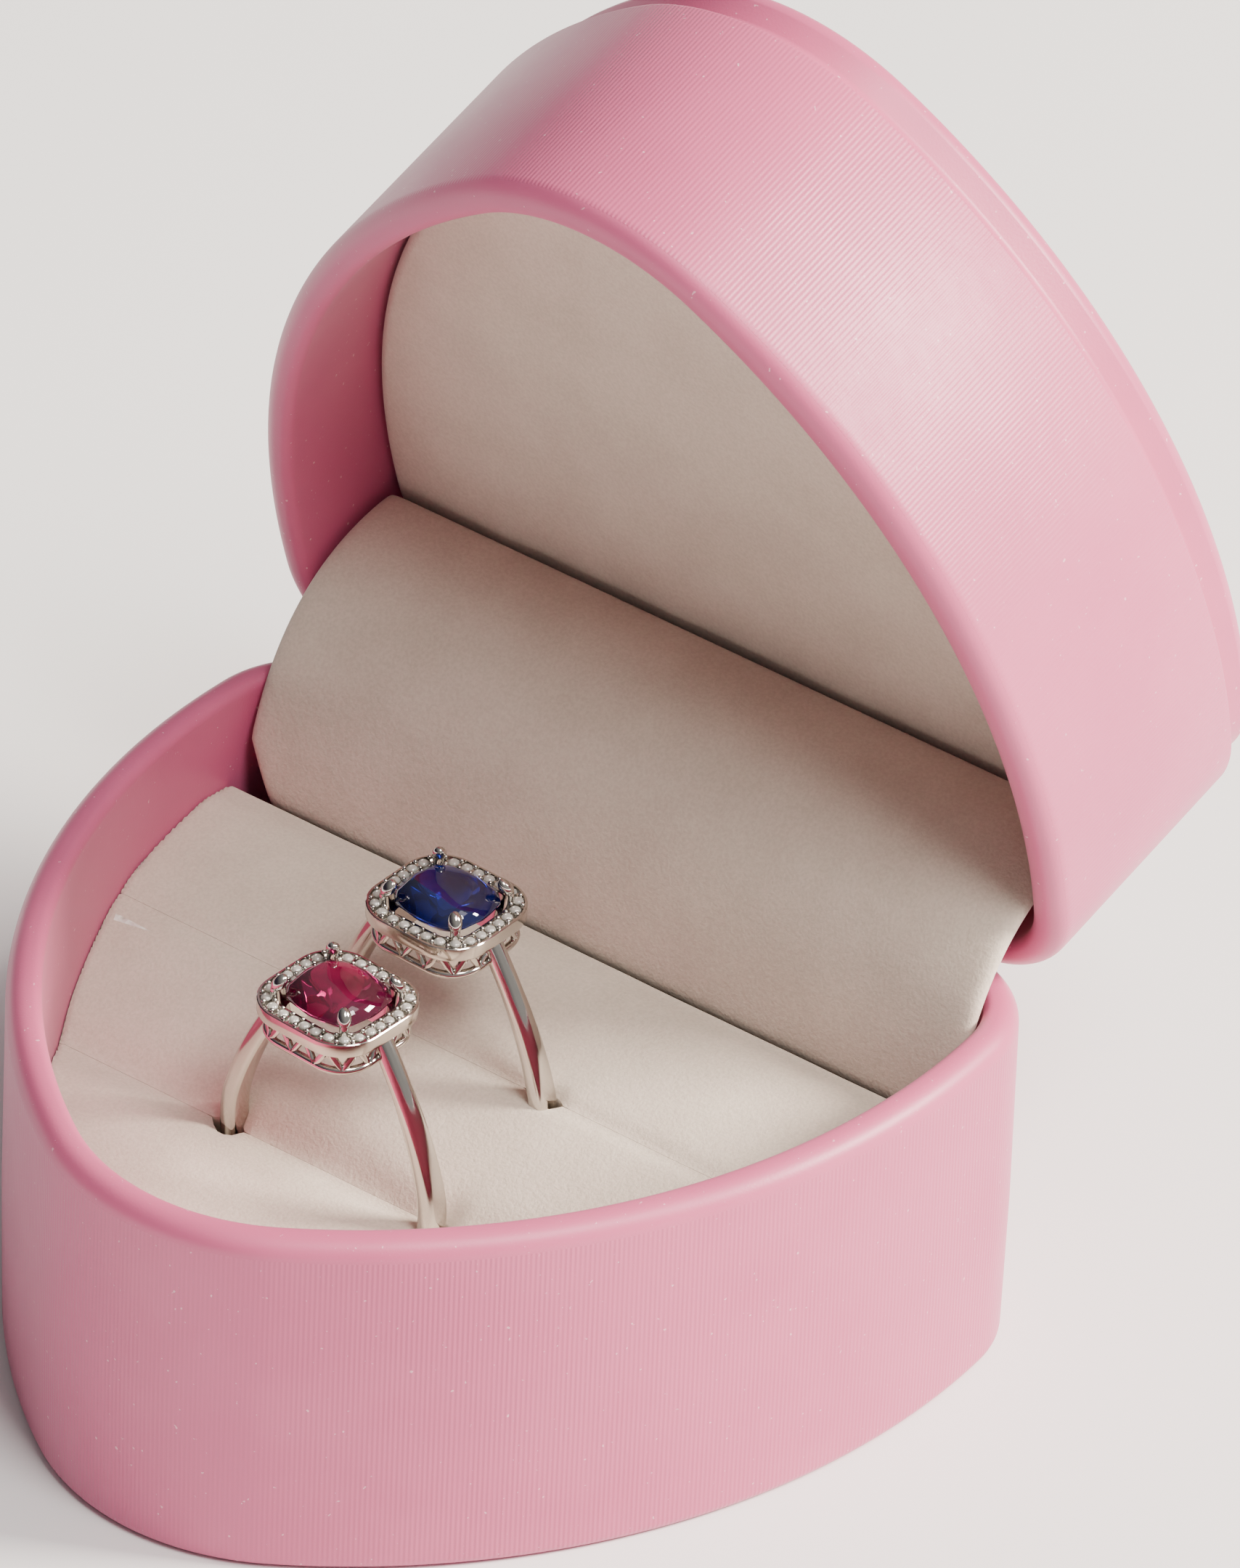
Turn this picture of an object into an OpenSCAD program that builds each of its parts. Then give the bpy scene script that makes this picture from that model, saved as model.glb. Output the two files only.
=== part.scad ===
// Hinged ring box, standing open, with two gem rings in its padded insert.
// X runs along the hinge, -Y is the pointed front, +Z is up. The origin is the middle
// of the base's footprint, on the surface that the box stands on.

/* [Box] */
// Width of the box across its two back corners
body_w = 70; // [58:0.5:84]
// Length of the box, from the flat back to the rounded tip
body_l = 62.7; // [53:0.1:75]
// Height of the base, up to its rim
base_h = 28.7; // [26:0.1:34]
// Height of the lid's wall, from its rim to the crown
lid_wall_h = 21; // [18.5:0.1:26]
// Rise of the crown above the lid's wall
crown_h = 4.2; // [3.4:0.1:6]
// How far the crown stands in from the wall
crown_inset = 1; // [0.6:0.1:1.6]
// Radius of the two back corners
corner_r = 9; // [7.5:0.5:10.5]
// Radius of the tip, as a share of the width
tip_share = 0.268; // [0.24:0.002:0.3]
// Radius of the long sides, as a share of the width
side_share = 0.796; // [0.74:0.002:0.9]

/* [Moulding] */
// Wall of both shells
wall_t = 2.6; // [2.2:0.1:3]
// Floor of the base
floor_t = 2.2; // [1.6:0.1:3]
// Rounding of the rim outside
rim_out = 1.6; // [1.2:0.1:1.7]
// Rounding of the rim inside
rim_in = 0.8; // [0.4:0.1:0.9]
// Gap between the two rims when the box is shut
mate_gap = 0.2; // [0.1:0.05:0.4]

/* [Hinge] */
// Angle from shut to fully open
open_angle = 76; // [60:1:78]
// Outer diameter of the rolled knuckles
knuckle_d = 3.4; // [3.2:0.05:3.5]
// Diameter of the pin
pin_d = 1.4; // [1.2:0.1:1.6]
// Half the length of the hinge
hinge_half = 15; // [13:0.5:17]
// Thickness of the hinge leaves
leaf_t = 0.6; // [0.5:0.05:0.8]

/* [Insert] */
// Height of the velvet at the back of the insert
seat_back = 21.6; // [20:0.1:22.5]
// Height of the velvet at the rear slot
seat_rear = 19.9; // [18:0.1:20.5]
// Height of the velvet at the front slot
seat_front = 15.6; // [14.5:0.1:17.5]
// Height of the velvet at the tip
seat_tip = 12.6; // [11:0.1:14]
// Thickness of the velvet
velvet_t = 0.6; // [0.4:0.05:0.8]
// Width of each slot between two strips
slot_w = 0.6; // [0.4:0.05:1]
// Depth of the lid's pad above the rim
lid_pad_rise = 10.3; // [9.5:0.1:10.8]

/* [Rings] */
// Inner diameter of a ring
finger_d = 17.3; // [15.7:0.1:17.9]
// Radial thickness of a band
band_t = 1.5; // [1.2:0.05:1.7]
// Width of a band
band_w = 2.2; // [1.8:0.05:2.5]
// Width of the halo of small stones
halo_w = 10.2; // [9.4:0.1:10.6]
// Small stones in one halo
halo_count = 28; // [24:1:30]

/* [Hidden] */
$fn = 96;
eps = 0.01;
far = 200;

// Plan outline: a flat back, two small corners, two long arcs and a round tip.
back_y = body_l / 2;
tip_r = body_w * tip_share;
side_r = body_w * side_share;
corner_c = [body_w / 2 - corner_r, back_y - corner_r];
tip_c = [0, -body_l / 2 + tip_r];
// The side arc's centre, at side_r - corner_r and side_r - tip_r from the other two centres.
cc = norm(corner_c - tip_c);
cu = (corner_c - tip_c) / cc;
ct = (pow(side_r - tip_r, 2) - pow(side_r - corner_r, 2) + cc * cc) / (2 * cc);
ch = sqrt(pow(side_r - tip_r, 2) - ct * ct);
side_c = tip_c + cu * ct + [-cu[1], cu[0]] * ch;
tip_a = atan2(tip_c[1] - side_c[1], tip_c[0] - side_c[0]);
corner_a = atan2(corner_c[1] - side_c[1], corner_c[0] - side_c[0]);

// Hinge axis, and the lid's own heights with the box shut.
hinge_y = back_y - 1.25;
hinge_z = base_h - 1;
lid_z = base_h + mate_gap;
lid_top = lid_z + lid_wall_h;
pad_z = base_h + lid_pad_rise;
pad_board_t = 1.2;
pad_foam_t = 1.8;
ledge_z = pad_z + velvet_t + pad_foam_t + pad_board_t;
ledge_w = 1.6;
crown_t = 1.8;
spigot_h = 2.2;
spigot_t = 1.4;
spigot_clear = 0.1;
foot_r = 1;
foot_in = 0.2;
lap = 0.02;
lap_turn = 0.3;
lap_run = 0.3;

// Hinge hardware.
inner_y = back_y - wall_t;
knuckle_gap = 0.2;
lid_knuckle_half = hinge_half * 0.6;
spring_half = 3.4;
spring_t = 0.35;
notch_clear = 0.3;
leaf_reach = 10.2;
rivet_d = 1.6;
rivet_x = hinge_half * 0.72;
pin_clear = 0.05;

// Insert: the slots' places along Y, and the clearances around the strips.
board_t = 1;
slot_rear_y = back_y - 24.2;
slot_front_y = back_y - 36.1;
strip_back_y = back_y - 10.5;
strip_tip_y = -body_l / 2 + wall_t;
plan_clear = 0.15;
strip_round = 1.6;
strips = [
    ["front", strip_tip_y - 2, slot_front_y - slot_w / 2, seat_tip, seat_front],
    ["middle", slot_front_y + slot_w / 2, slot_rear_y - slot_w / 2, seat_front, seat_rear],
    ["rear", slot_rear_y + slot_w / 2, strip_back_y, seat_rear, seat_back],
];

// Gusset: its pivot on the pad's surface, and the curve of its velvet face with the lid open.
gusset_half = body_w / 2 - 3.15;
card_t = 0.8;
gusset_gap = 0.45;
gusset_tail = [back_y - 9.95, base_h - 8.6];
gusset_bend = [back_y - 7.5, base_h + 8.8];
pivot_shut = [back_y - 8.9, pad_z];

// Rings: seat places, and heights above the middle of the band.
seat_x = [-2.6, -2.2];
ring_y = [slot_front_y, slot_rear_y];
ring_z = [seat_front + 0.6, seat_rear - 1.85];
ring_yaw = [-4, -2];
band_r = finger_d / 2 + band_t;
halo_z = band_r + 4.3;
halo_t = 1.1;
halo_d = halo_w - 0.4;
halo_r = 3.2;
stone_w = 7.2;
stone_d = 6.6;
stone_z = halo_z + 0.3;
pocket_clear = 0.15;

pink = [0.87, 0.6, 0.65];
cream = [0.83, 0.8, 0.75];
steel = [0.75, 0.76, 0.78];
silver = [0.9, 0.9, 0.92];

// ---------------------------------------------------------------- outline tools

// Points of an arc about c, from angle a0 to a1, in n steps.
function arc(c, r, a0, a1, n = 6) =
    [for (i = [0:n]) c + r * [cos(a0 + (a1 - a0) * i / n), sin(a0 + (a1 - a0) * i / n)]];

// Half of the outline moved outward by off, from the tip round to the back.
function half_outline(off) = concat(
    arc(tip_c, tip_r + off, -90, tip_a, 12),
    arc(side_c, side_r + off, tip_a, corner_a, 16),
    arc(corner_c, corner_r + off, corner_a, 90, 10)
);

function mirror_points(p) = [for (i = [len(p) - 1:-1:0]) [-p[i][0], p[i][1]]];

// The flat plan of the outline, moved outward by off.
module plan(off) {
    right = half_outline(off);
    polygon(concat(right, mirror_points(right)));
}

// Revolves a wall section along one arc of the outline. The section's x is the
// distance outward from the outline.
module sweep_arc(c, r, a0, a1) {
    translate(c) rotate([0, 0, a0]) rotate_extrude(angle = a1 - a0) translate([r, 0]) children();
}

// Carries a wall section round the outline. The first child is the section of the tip and the
// corners. The second is the same section drawn in by lap, for the sides and the back, whose
// ends run a little way into the others, so the stretches of wall join as one solid.
module sweep_wall() {
    sweep_arc(tip_c, tip_r, -180 - tip_a, tip_a) children(0);
    for (side = [0, 1]) mirror([side, 0, 0]) {
        sweep_arc(side_c, side_r, tip_a - lap_turn, corner_a + lap_turn) children(1);
        sweep_arc(corner_c, corner_r, corner_a, 90 - 3 * lap_turn) children(0);
    }
    translate([-corner_c[0] - lap_run, back_y, 0])
        along_x(2 * (corner_c[0] + lap_run)) children(1);
}

// Extrudes a drawing of (y, z) along X.
module along_x(length) {
    rotate([90, 0, 90]) linear_extrude(length) children();
}

// ---------------------------------------------------------------- poses

module open_lid() {
    translate([0, hinge_y, hinge_z]) rotate([-open_angle, 0, 0]) translate([0, -hinge_y, -hinge_z])
        children();
}

// Turns a point (y, z) of the shut lid into the open pose.
function opened(p) =
    let (d = p - [hinge_y, hinge_z], c = cos(open_angle), s = sin(open_angle))
    [hinge_y + d[0] * c + d[1] * s, hinge_z - d[0] * s + d[1] * c];

// ---------------------------------------------------------------- base

// Each wall section is drawn in by g on every side.
function base_section(g) = concat(
    [[g - wall_t, g]],
    arc([-foot_in - foot_r, foot_r], foot_r - g, -90, 0),
    arc([-rim_out, base_h - rim_out], rim_out - g, 0, 90, 8),
    arc([rim_in - wall_t, base_h - rim_in], rim_in - g, 90, 180)
);

// The opening that the knuckles need through both rims.
module knuckle_notch() {
    translate([-hinge_half - notch_clear, inner_y - 1, hinge_z - knuckle_d / 2 - notch_clear])
        cube([2 * (hinge_half + notch_clear), wall_t + 3, knuckle_d + 2 * notch_clear]);
}

module base_shell() {
    color(pink) difference() {
        union() {
            sweep_wall() {
                polygon(base_section(0));
                polygon(base_section(lap));
            }
            linear_extrude(floor_t) plan(-foot_in - foot_r - 0.1);
        }
        knuckle_notch();
    }
}

module insert_board() {
    color([0.62, 0.58, 0.52]) translate([0, 0, floor_t]) linear_extrude(board_t) plan(-wall_t - 0.3);
}

// ---------------------------------------------------------------- insert strips

// Side view of a strip: a sloping top with both edges rounded, drawn in by inset.
function strip_section(s, inset, low) =
    let (
        r = strip_round - inset,
        y0 = s[1] + inset,
        y1 = s[2] - inset,
        z0 = s[3] - inset,
        z1 = s[4] - inset
    )
    concat(
        [[y0, low], [y1, low]],
        arc([y1 - r, z1 - r], r, 0, 90),
        arc([y0 + r, z0 - r], r, 90, 180)
    );

module strip(s, inset, low) {
    intersection() {
        translate([-body_w, 0, 0]) along_x(2 * body_w) polygon(strip_section(s, inset, low));
        linear_extrude(base_h) plan(-wall_t - plan_clear - inset);
    }
}

// The grooves that the two bands press into the strips.
module band_grooves() {
    for (i = [0, 1]) at_ring(i) rotate([90, 0, 0]) difference() {
        cylinder(r = band_r + pocket_clear, h = band_w + 2 * pocket_clear, center = true);
        cylinder(r = finger_d / 2 - pocket_clear, h = band_w + 1, center = true);
    }
}

module foam(i) {
    color([0.9, 0.88, 0.84]) difference() {
        strip(strips[i], velvet_t, floor_t + board_t);
        band_grooves();
    }
}

module velvet(i) {
    color(cream) difference() {
        strip(strips[i], 0, floor_t + board_t);
        strip(strips[i], velvet_t, floor_t);
        band_grooves();
    }
}

// ---------------------------------------------------------------- hinge

// A rolled knuckle from x0 to x1, with its bore.
module knuckle(x0, x1, bore) {
    translate([x0, hinge_y, hinge_z]) rotate([0, 90, 0]) difference() {
        cylinder(d = knuckle_d, h = x1 - x0);
        translate([0, 0, -1]) cylinder(d = bore, h = x1 - x0 + 2);
    }
}

module pin_bore(bore) {
    translate([-far / 2, hinge_y, hinge_z]) rotate([0, 90, 0]) cylinder(d = bore, h = far);
}

// A leaf's flat plate against the back wall, from height z0 to z1.
module plate(half, z0, z1) {
    translate([-half, inner_y - leaf_t, z0]) cube([2 * half, leaf_t, z1 - z0]);
}

module hinge_leaf_base() {
    low = hinge_z - leaf_reach;
    color(steel) difference() {
        union() {
            plate(hinge_half, low, hinge_z - knuckle_d / 2 - 0.5);
            for (side = [0, 1]) mirror([side, 0, 0]) {
                knuckle(lid_knuckle_half + knuckle_gap, hinge_half, pin_d);
                translate([lid_knuckle_half + knuckle_gap, inner_y - leaf_t, low])
                    cube([hinge_half - lid_knuckle_half - knuckle_gap, leaf_t, hinge_z - low]);
            }
        }
        pin_bore(pin_d);
        rivet_holes(hinge_z - leaf_reach / 2);
    }
}

module hinge_leaf_lid() {
    high = hinge_z + leaf_reach;
    color(steel) open_lid() difference() {
        union() {
            plate(hinge_half, hinge_z + knuckle_d / 2 + 0.5, high);
            plate(lid_knuckle_half, hinge_z, high);
            knuckle(-lid_knuckle_half, lid_knuckle_half, pin_d + 2 * pin_clear);
        }
        pin_bore(pin_d + 2 * pin_clear);
        rivet_holes(hinge_z + leaf_reach * 0.6);
        knuckle_flats();
    }
}

// Two flats on the middle of the lid's knuckle, which face the spring when shut and when open.
module knuckle_flats() {
    for (turn = [0, open_angle])
        translate([0, hinge_y, hinge_z]) rotate([turn, 0, 0])
            translate([-spring_half - 0.3, -knuckle_d, -knuckle_d])
                cube([2 * spring_half + 0.6, knuckle_d / 2 + 0.2, 2 * knuckle_d]);
}

module hinge_pin() {
    color(silver) translate([-hinge_half, hinge_y, hinge_z]) rotate([0, 90, 0])
        cylinder(d = pin_d, h = 2 * hinge_half);
}

module at_rivets(z) {
    for (x = [-rivet_x, rivet_x])
        translate([x, inner_y - leaf_t, z]) rotate([-90, 0, 0]) children();
}

module rivet_holes(z) {
    at_rivets(z) translate([0, 0, -1]) cylinder(d = rivet_d, h = leaf_t + 2);
}

// Rivet: a low round head on the leaf and a shank that ends flush with the leaf.
module rivets(z) {
    at_rivets(z) {
        cylinder(d = rivet_d, h = leaf_t);
        translate([0, 0, -0.4]) cylinder(d1 = rivet_d * 1.3, d2 = rivet_d * 1.75, h = 0.4);
    }
}

module hinge_rivets_base() {
    color(silver) rivets(hinge_z - leaf_reach / 2);
}

module hinge_rivets_lid() {
    color(silver) open_lid() rivets(hinge_z + leaf_reach * 0.6);
}

// A spring blade that stands in front of the base's leaf and bears on the flats.
module snap_spring() {
    blade = inner_y - leaf_t - spring_t;
    tip = hinge_y - knuckle_d / 2 - 0.1 - spring_t;
    low = hinge_z - leaf_reach + 1;
    bend_z = hinge_z - knuckle_d / 2 - 0.5;
    top_z = hinge_z + 1;
    color([0.6, 0.62, 0.66]) translate([-spring_half, 0, 0]) along_x(2 * spring_half) polygon([
        [blade, low], [blade + spring_t, low], [blade + spring_t, bend_z],
        [tip + spring_t, bend_z + 1], [tip + spring_t, top_z], [tip, top_z],
        [tip, bend_z + 1], [blade, bend_z],
    ]);
}

// ---------------------------------------------------------------- rings

module at_ring(i) {
    translate([seat_x[i], ring_y[i], ring_z[i]]) rotate([0, 0, ring_yaw[i]]) children();
}

function rounded_rect(w, d, r) = concat(
    arc([w / 2 - r, d / 2 - r], r, 0, 90),
    arc([r - w / 2, d / 2 - r], r, 90, 180),
    arc([r - w / 2, r - d / 2], r, 180, 270),
    arc([w / 2 - r, r - d / 2], r, 270, 360)
);

// Point of a curve with one bend, from a to c past b.
function bend(a, b, c, t) = a * (1 - t) * (1 - t) + b * 2 * t * (1 - t) + c * t * t;

// Shoulder, in (x, z): it leaves the band and climbs to the halo.
shoulder_low = 24;
shoulder_top = [halo_w / 2 - 0.5, halo_z - halo_t + 0.2];
function shoulder() = concat(
    [for (i = [0:8]) bend(band_r * [cos(shoulder_low), sin(shoulder_low)],
        [band_r * 0.83, band_r * 0.88], shoulder_top, i / 8)],
    [for (i = [8:-1:0]) bend((finger_d / 2 + 0.3) * [cos(shoulder_low), sin(shoulder_low)],
        [band_r * 0.72, band_r * 0.78], shoulder_top - [0.9, 0.1], i / 8)]
);

module ring_band(i) {
    color(silver) at_ring(i) {
        rotate([90, 0, 0]) {
            rotate_extrude() translate([finger_d / 2, 0]) polygon([
                [0, -band_w / 2 + 0.2], [0.2, -band_w / 2], [band_t * 0.55, -band_w / 2],
                [band_t, -band_w * 0.2], [band_t, band_w * 0.2],
                [band_t * 0.55, band_w / 2], [0.2, band_w / 2], [0, band_w / 2 - 0.2],
            ]);
            for (side = [0, 1]) mirror([side, 0, 0])
                linear_extrude(band_w * 0.7, center = true) polygon(shoulder());
        }
    }
}

module slab(w, d, r, z0, z1) {
    translate([0, 0, z0]) linear_extrude(z1 - z0) polygon(rounded_rect(w, d, r));
}

// The head: a halo tray with a seat for each small stone, a pierced gallery and four claws.
gallery_in = 1.4;
gallery_z = band_r - 0.35;
claw_x = stone_w / 2 - 0.55;
claw_y = stone_d / 2 - 0.5;
module ring_head(i) {
    gallery_w = halo_w - gallery_in;
    gallery_d = halo_d - gallery_in;
    gallery_h = halo_z - halo_t - gallery_z;
    color(silver) at_ring(i) {
        difference() {
            union() {
                slab(halo_w, halo_d, halo_r, halo_z - halo_t, halo_z);
                slab(gallery_w, gallery_d, halo_r - 0.7, gallery_z, halo_z - halo_t + eps);
            }
            slab(stone_w - 0.4, stone_d - 0.4, halo_r - 1.6, gallery_z - 1, halo_z + 1);
            pierced_sides(gallery_w, gallery_d, gallery_h);
            halo_seats(0.35, halo_z - 0.45, halo_z + 1);
            rotate([90, 0, 0]) cylinder(r = band_r - 0.2, h = band_w + 0.4, center = true);
            for (side = [0, 1]) mirror([side, 0, 0]) rotate([90, 0, 0])
                linear_extrude(band_w * 0.7, center = true) polygon(shoulder());
        }
        for (sx = [-1, 1], sy = [-1, 1]) translate([sx * claw_x, sy * claw_y, 0]) {
            translate([0, 0, halo_z - halo_t]) cylinder(d = 0.7, h = stone_z + 1 - halo_z + halo_t, $fn = 24);
            translate([0, 0, stone_z + 1.05]) sphere(d = 1.1, $fn = 24);
        }
    }
}

// Triangular windows through the gallery, three to a side.
module pierced_sides(w, d, h) {
    for (k = [-1, 0, 1], turn = [0, 90])
        rotate([0, 0, turn]) translate([k * w * 0.27, 0, gallery_z + h * 0.3]) rotate([90, 0, 0])
            linear_extrude(far / 10, center = true)
                polygon([[-w * 0.1, 0], [w * 0.1, 0], [0, h * 0.6]]);
}

// Places of the small stones, spaced evenly round the halo.
function halo_place(k) =
    let (
        a = 360 * (k + 0.5) / halo_count,
        hw = (halo_w + stone_w) / 4 + 0.02,
        hd = (halo_d + stone_d) / 4 + 0.02,
        p = 4,
        m = pow(pow(abs(cos(a)), p) + pow(abs(sin(a)), p), -1 / p)
    )
    [hw * cos(a) * m, hd * sin(a) * m];

module halo_seats(r, z0, z1) {
    for (k = [0:halo_count - 1]) translate(halo_place(k)) translate([0, 0, z0])
        cylinder(r = r, h = z1 - z0, $fn = 24);
}

module halo_stones(i) {
    color([0.95, 0.95, 0.97]) at_ring(i)
        for (k = [0:halo_count - 1]) translate(halo_place(k)) translate([0, 0, halo_z - 0.45]) {
            cylinder(r = 0.35, h = 0.5, $fn = 24);
            translate([0, 0, 0.5]) cylinder(r1 = 0.35, r2 = 0.2, h = 0.15, $fn = 24);
        }
}

// Cushion-cut stone: a girdle, a crown with a flat table, and a pointed pavilion.
module ring_stone(i) {
    tone = i == 0 ? [0.62, 0.08, 0.3] : [0.07, 0.1, 0.4];
    color(tone) at_ring(i) difference() {
        hull() {
            slab(stone_w, stone_d, 2.2, stone_z, stone_z + 0.25);
            slab(stone_w * 0.6, stone_d * 0.6, 1, stone_z + 1.2, stone_z + 1.25);
            translate([0, 0, stone_z - 2.6]) cylinder(r = 0.3, h = 0.1, $fn = 16);
        }
        claw_clearance();
        seat_clearance();
    }
}

// Keeps the stone off the claws.
module claw_clearance() {
    for (sx = [-1, 1], sy = [-1, 1]) translate([sx * claw_x, sy * claw_y, halo_z - 3])
        cylinder(d = 0.8, h = 7, $fn = 24);
    for (sx = [-1, 1], sy = [-1, 1]) translate([sx * claw_x, sy * claw_y, stone_z + 1.05])
        sphere(d = 1.2, $fn = 24);
}

// Keeps the stone's pavilion inside the opening of the tray.
module seat_clearance() {
    difference() {
        translate([-far / 4, -far / 4, halo_z - 6]) cube([far / 2, far / 2, 6.05]);
        slab(stone_w - 0.5, stone_d - 0.5, halo_r - 1.65, halo_z - 7, halo_z + 1);
    }
}

// ---------------------------------------------------------------- lid

function lid_section(g) =
    let (wall = g - wall_t, ledge = g - wall_t - ledge_w)
    concat(
        arc([rim_in - wall_t, lid_z + rim_in], rim_in - g, 180, 270),
        arc([-rim_out, lid_z + rim_out], rim_out - g, 270, 360, 8),
        [[-g, lid_top - 0.3], [-0.3, lid_top - g], [wall, lid_top - g]],
        [[wall, ledge_z + ledge_w + 1.6 - g], [ledge, ledge_z + 1.6 - g]],
        [[ledge, ledge_z + g], [wall, ledge_z + g]]
    );

module lid_shell() {
    color(pink) open_lid() difference() {
        sweep_wall() {
            polygon(lid_section(0));
            polygon(lid_section(lap));
        }
        knuckle_notch();
    }
}

function crown_section(g) =
    let (
        lip_r = crown_h * 0.5,
        cove_r = crown_inset - 0.3,
        top = lid_top + crown_h,
        spigot_out = -wall_t - spigot_clear - g,
        spigot_in = -wall_t - spigot_clear - spigot_t + g,
        spigot_low = lid_top - spigot_h + g,
        plate_low = top - crown_t + g
    )
    concat(
        [[spigot_in, spigot_low], [spigot_out, spigot_low]],
        [[spigot_out, lid_top + g], [-0.3 - g, lid_top + g]],
        arc([-0.3 - g, lid_top + cove_r + 0.1], cove_r + g, 270, 180),
        arc([-crown_inset - lip_r, top - lip_r], lip_r - g, 0, 90, 10),
        [[spigot_in - 1.2, top - g], [spigot_in - 1.2, plate_low + 0.4]],
        [[spigot_in, plate_low - 0.9]]
    );

module lid_crown() {
    color(pink) open_lid() {
        sweep_wall() {
            polygon(crown_section(0));
            polygon(crown_section(lap));
        }
        translate([0, 0, lid_top + crown_h - crown_t])
            linear_extrude(crown_t) plan(0.3 - wall_t - spigot_t);
    }
}

pad_in = wall_t + 0.25;
module lid_board() {
    color([0.62, 0.58, 0.52]) open_lid() translate([0, 0, ledge_z - pad_board_t])
        linear_extrude(pad_board_t) plan(-pad_in - velvet_t);
}

module lid_foam() {
    color([0.9, 0.88, 0.84]) open_lid() translate([0, 0, pad_z + velvet_t])
        linear_extrude(pad_foam_t) plan(-pad_in - velvet_t);
}

// The lid's velvet is a shallow dish that wraps the pad and the edge of its board.
module lid_velvet() {
    color(cream) open_lid() difference() {
        translate([0, 0, pad_z]) linear_extrude(ledge_z - pad_z) plan(-pad_in);
        translate([0, 0, pad_z + velvet_t]) linear_extrude(ledge_z - pad_z) plan(-pad_in - velvet_t);
    }
}

// ---------------------------------------------------------------- gusset

gusset_pivot = opened(pivot_shut);
gusset_top = gusset_pivot - [gusset_gap, -0.05];

// Points of the gusset's curve at a depth below its velvet face.
function gusset_curve(depth, n = 20) =
    [for (i = [0:n])
        let (
            t = i / n,
            p = bend(gusset_tail, gusset_bend, gusset_top, t),
            d = 2 * (1 - t) * (gusset_bend - gusset_tail) + 2 * t * (gusset_top - gusset_bend),
            u = d / norm(d)
        )
        p + depth * [u[1], -u[0]]];

function reversed(p) = [for (i = [len(p) - 1:-1:0]) p[i]];

// The lower corners are cut off, since the tail swings back between the base's rounded corners.
module gusset_sheet(d0, d1, half) {
    cut = 0.3 * corner_r;
    z = gusset_tail[1];
    right = [[half - cut, z - 2], [half - cut, z], [half, z + 0.5 * corner_r], [half, z + 4 * corner_r]];
    left = [for (p = reversed(right)) [-p[0], p[1]]];
    intersection() {
        translate([-half, 0, 0]) along_x(2 * half) polygon(concat(gusset_curve(d0), reversed(gusset_curve(d1))));
        translate([0, 2 * body_l, 0]) rotate([90, 0, 0]) linear_extrude(3 * body_l) polygon(concat(right, left));
    }
}

module gusset_velvet() {
    color(cream) gusset_sheet(0, velvet_t, gusset_half);
}

module gusset_card() {
    color([0.62, 0.58, 0.52]) gusset_sheet(velvet_t, velvet_t + card_t, gusset_half - 0.3);
}

// ---------------------------------------------------------------- nodes

base_shell();
insert_board();
foam(0);  // foam_front
foam(1);  // foam_middle
foam(2);  // foam_rear
velvet(0);  // velvet_front
velvet(1);  // velvet_middle
velvet(2);  // velvet_rear
hinge_leaf_base();
hinge_rivets_base();
hinge_pin();
snap_spring();
ring_band(0);  // ring_band_front
ring_head(0);  // ring_head_front
ring_stone(0);  // ring_stone_front
halo_stones(0);  // halo_stones_front
ring_band(1);  // ring_band_rear
ring_head(1);  // ring_head_rear
ring_stone(1);  // ring_stone_rear
halo_stones(1);  // halo_stones_rear
lid_shell();
lid_crown();
lid_board();
lid_foam();
lid_velvet();
hinge_leaf_lid();
hinge_rivets_lid();
gusset_card();
gusset_velvet();
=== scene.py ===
# %% [markdown]
# # A hinged ring box with two gem rings
# The object is a moulded, satin pink clamshell. It opens on a hidden hinge and shows a padded
# velvet insert, with two rings standing in the slots. This lesson makes its visible surfaces
# one at a time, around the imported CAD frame, and dresses the CAD nodes that stay.

# %% Load the frame
import math

import bmesh
import bpy
import numpy as np
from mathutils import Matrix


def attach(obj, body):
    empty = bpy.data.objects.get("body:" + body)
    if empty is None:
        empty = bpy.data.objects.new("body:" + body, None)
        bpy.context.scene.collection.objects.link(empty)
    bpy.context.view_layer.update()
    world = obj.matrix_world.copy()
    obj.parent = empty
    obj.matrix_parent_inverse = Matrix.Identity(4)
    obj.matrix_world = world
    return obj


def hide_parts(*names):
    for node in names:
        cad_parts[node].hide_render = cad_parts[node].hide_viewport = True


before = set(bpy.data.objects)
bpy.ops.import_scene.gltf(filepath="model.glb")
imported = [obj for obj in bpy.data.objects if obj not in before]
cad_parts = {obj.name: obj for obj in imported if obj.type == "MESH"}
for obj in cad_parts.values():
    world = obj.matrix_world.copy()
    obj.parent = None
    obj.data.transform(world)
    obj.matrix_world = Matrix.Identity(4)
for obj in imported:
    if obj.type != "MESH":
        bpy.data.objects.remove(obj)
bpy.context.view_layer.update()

# %% [markdown]
# ## Sizes
# The lengths repeat the CAD model's own, in metres. X runs along the hinge, -Y is the round
# tip and +Z is up. One small number, MM, keeps the rest readable.

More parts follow.
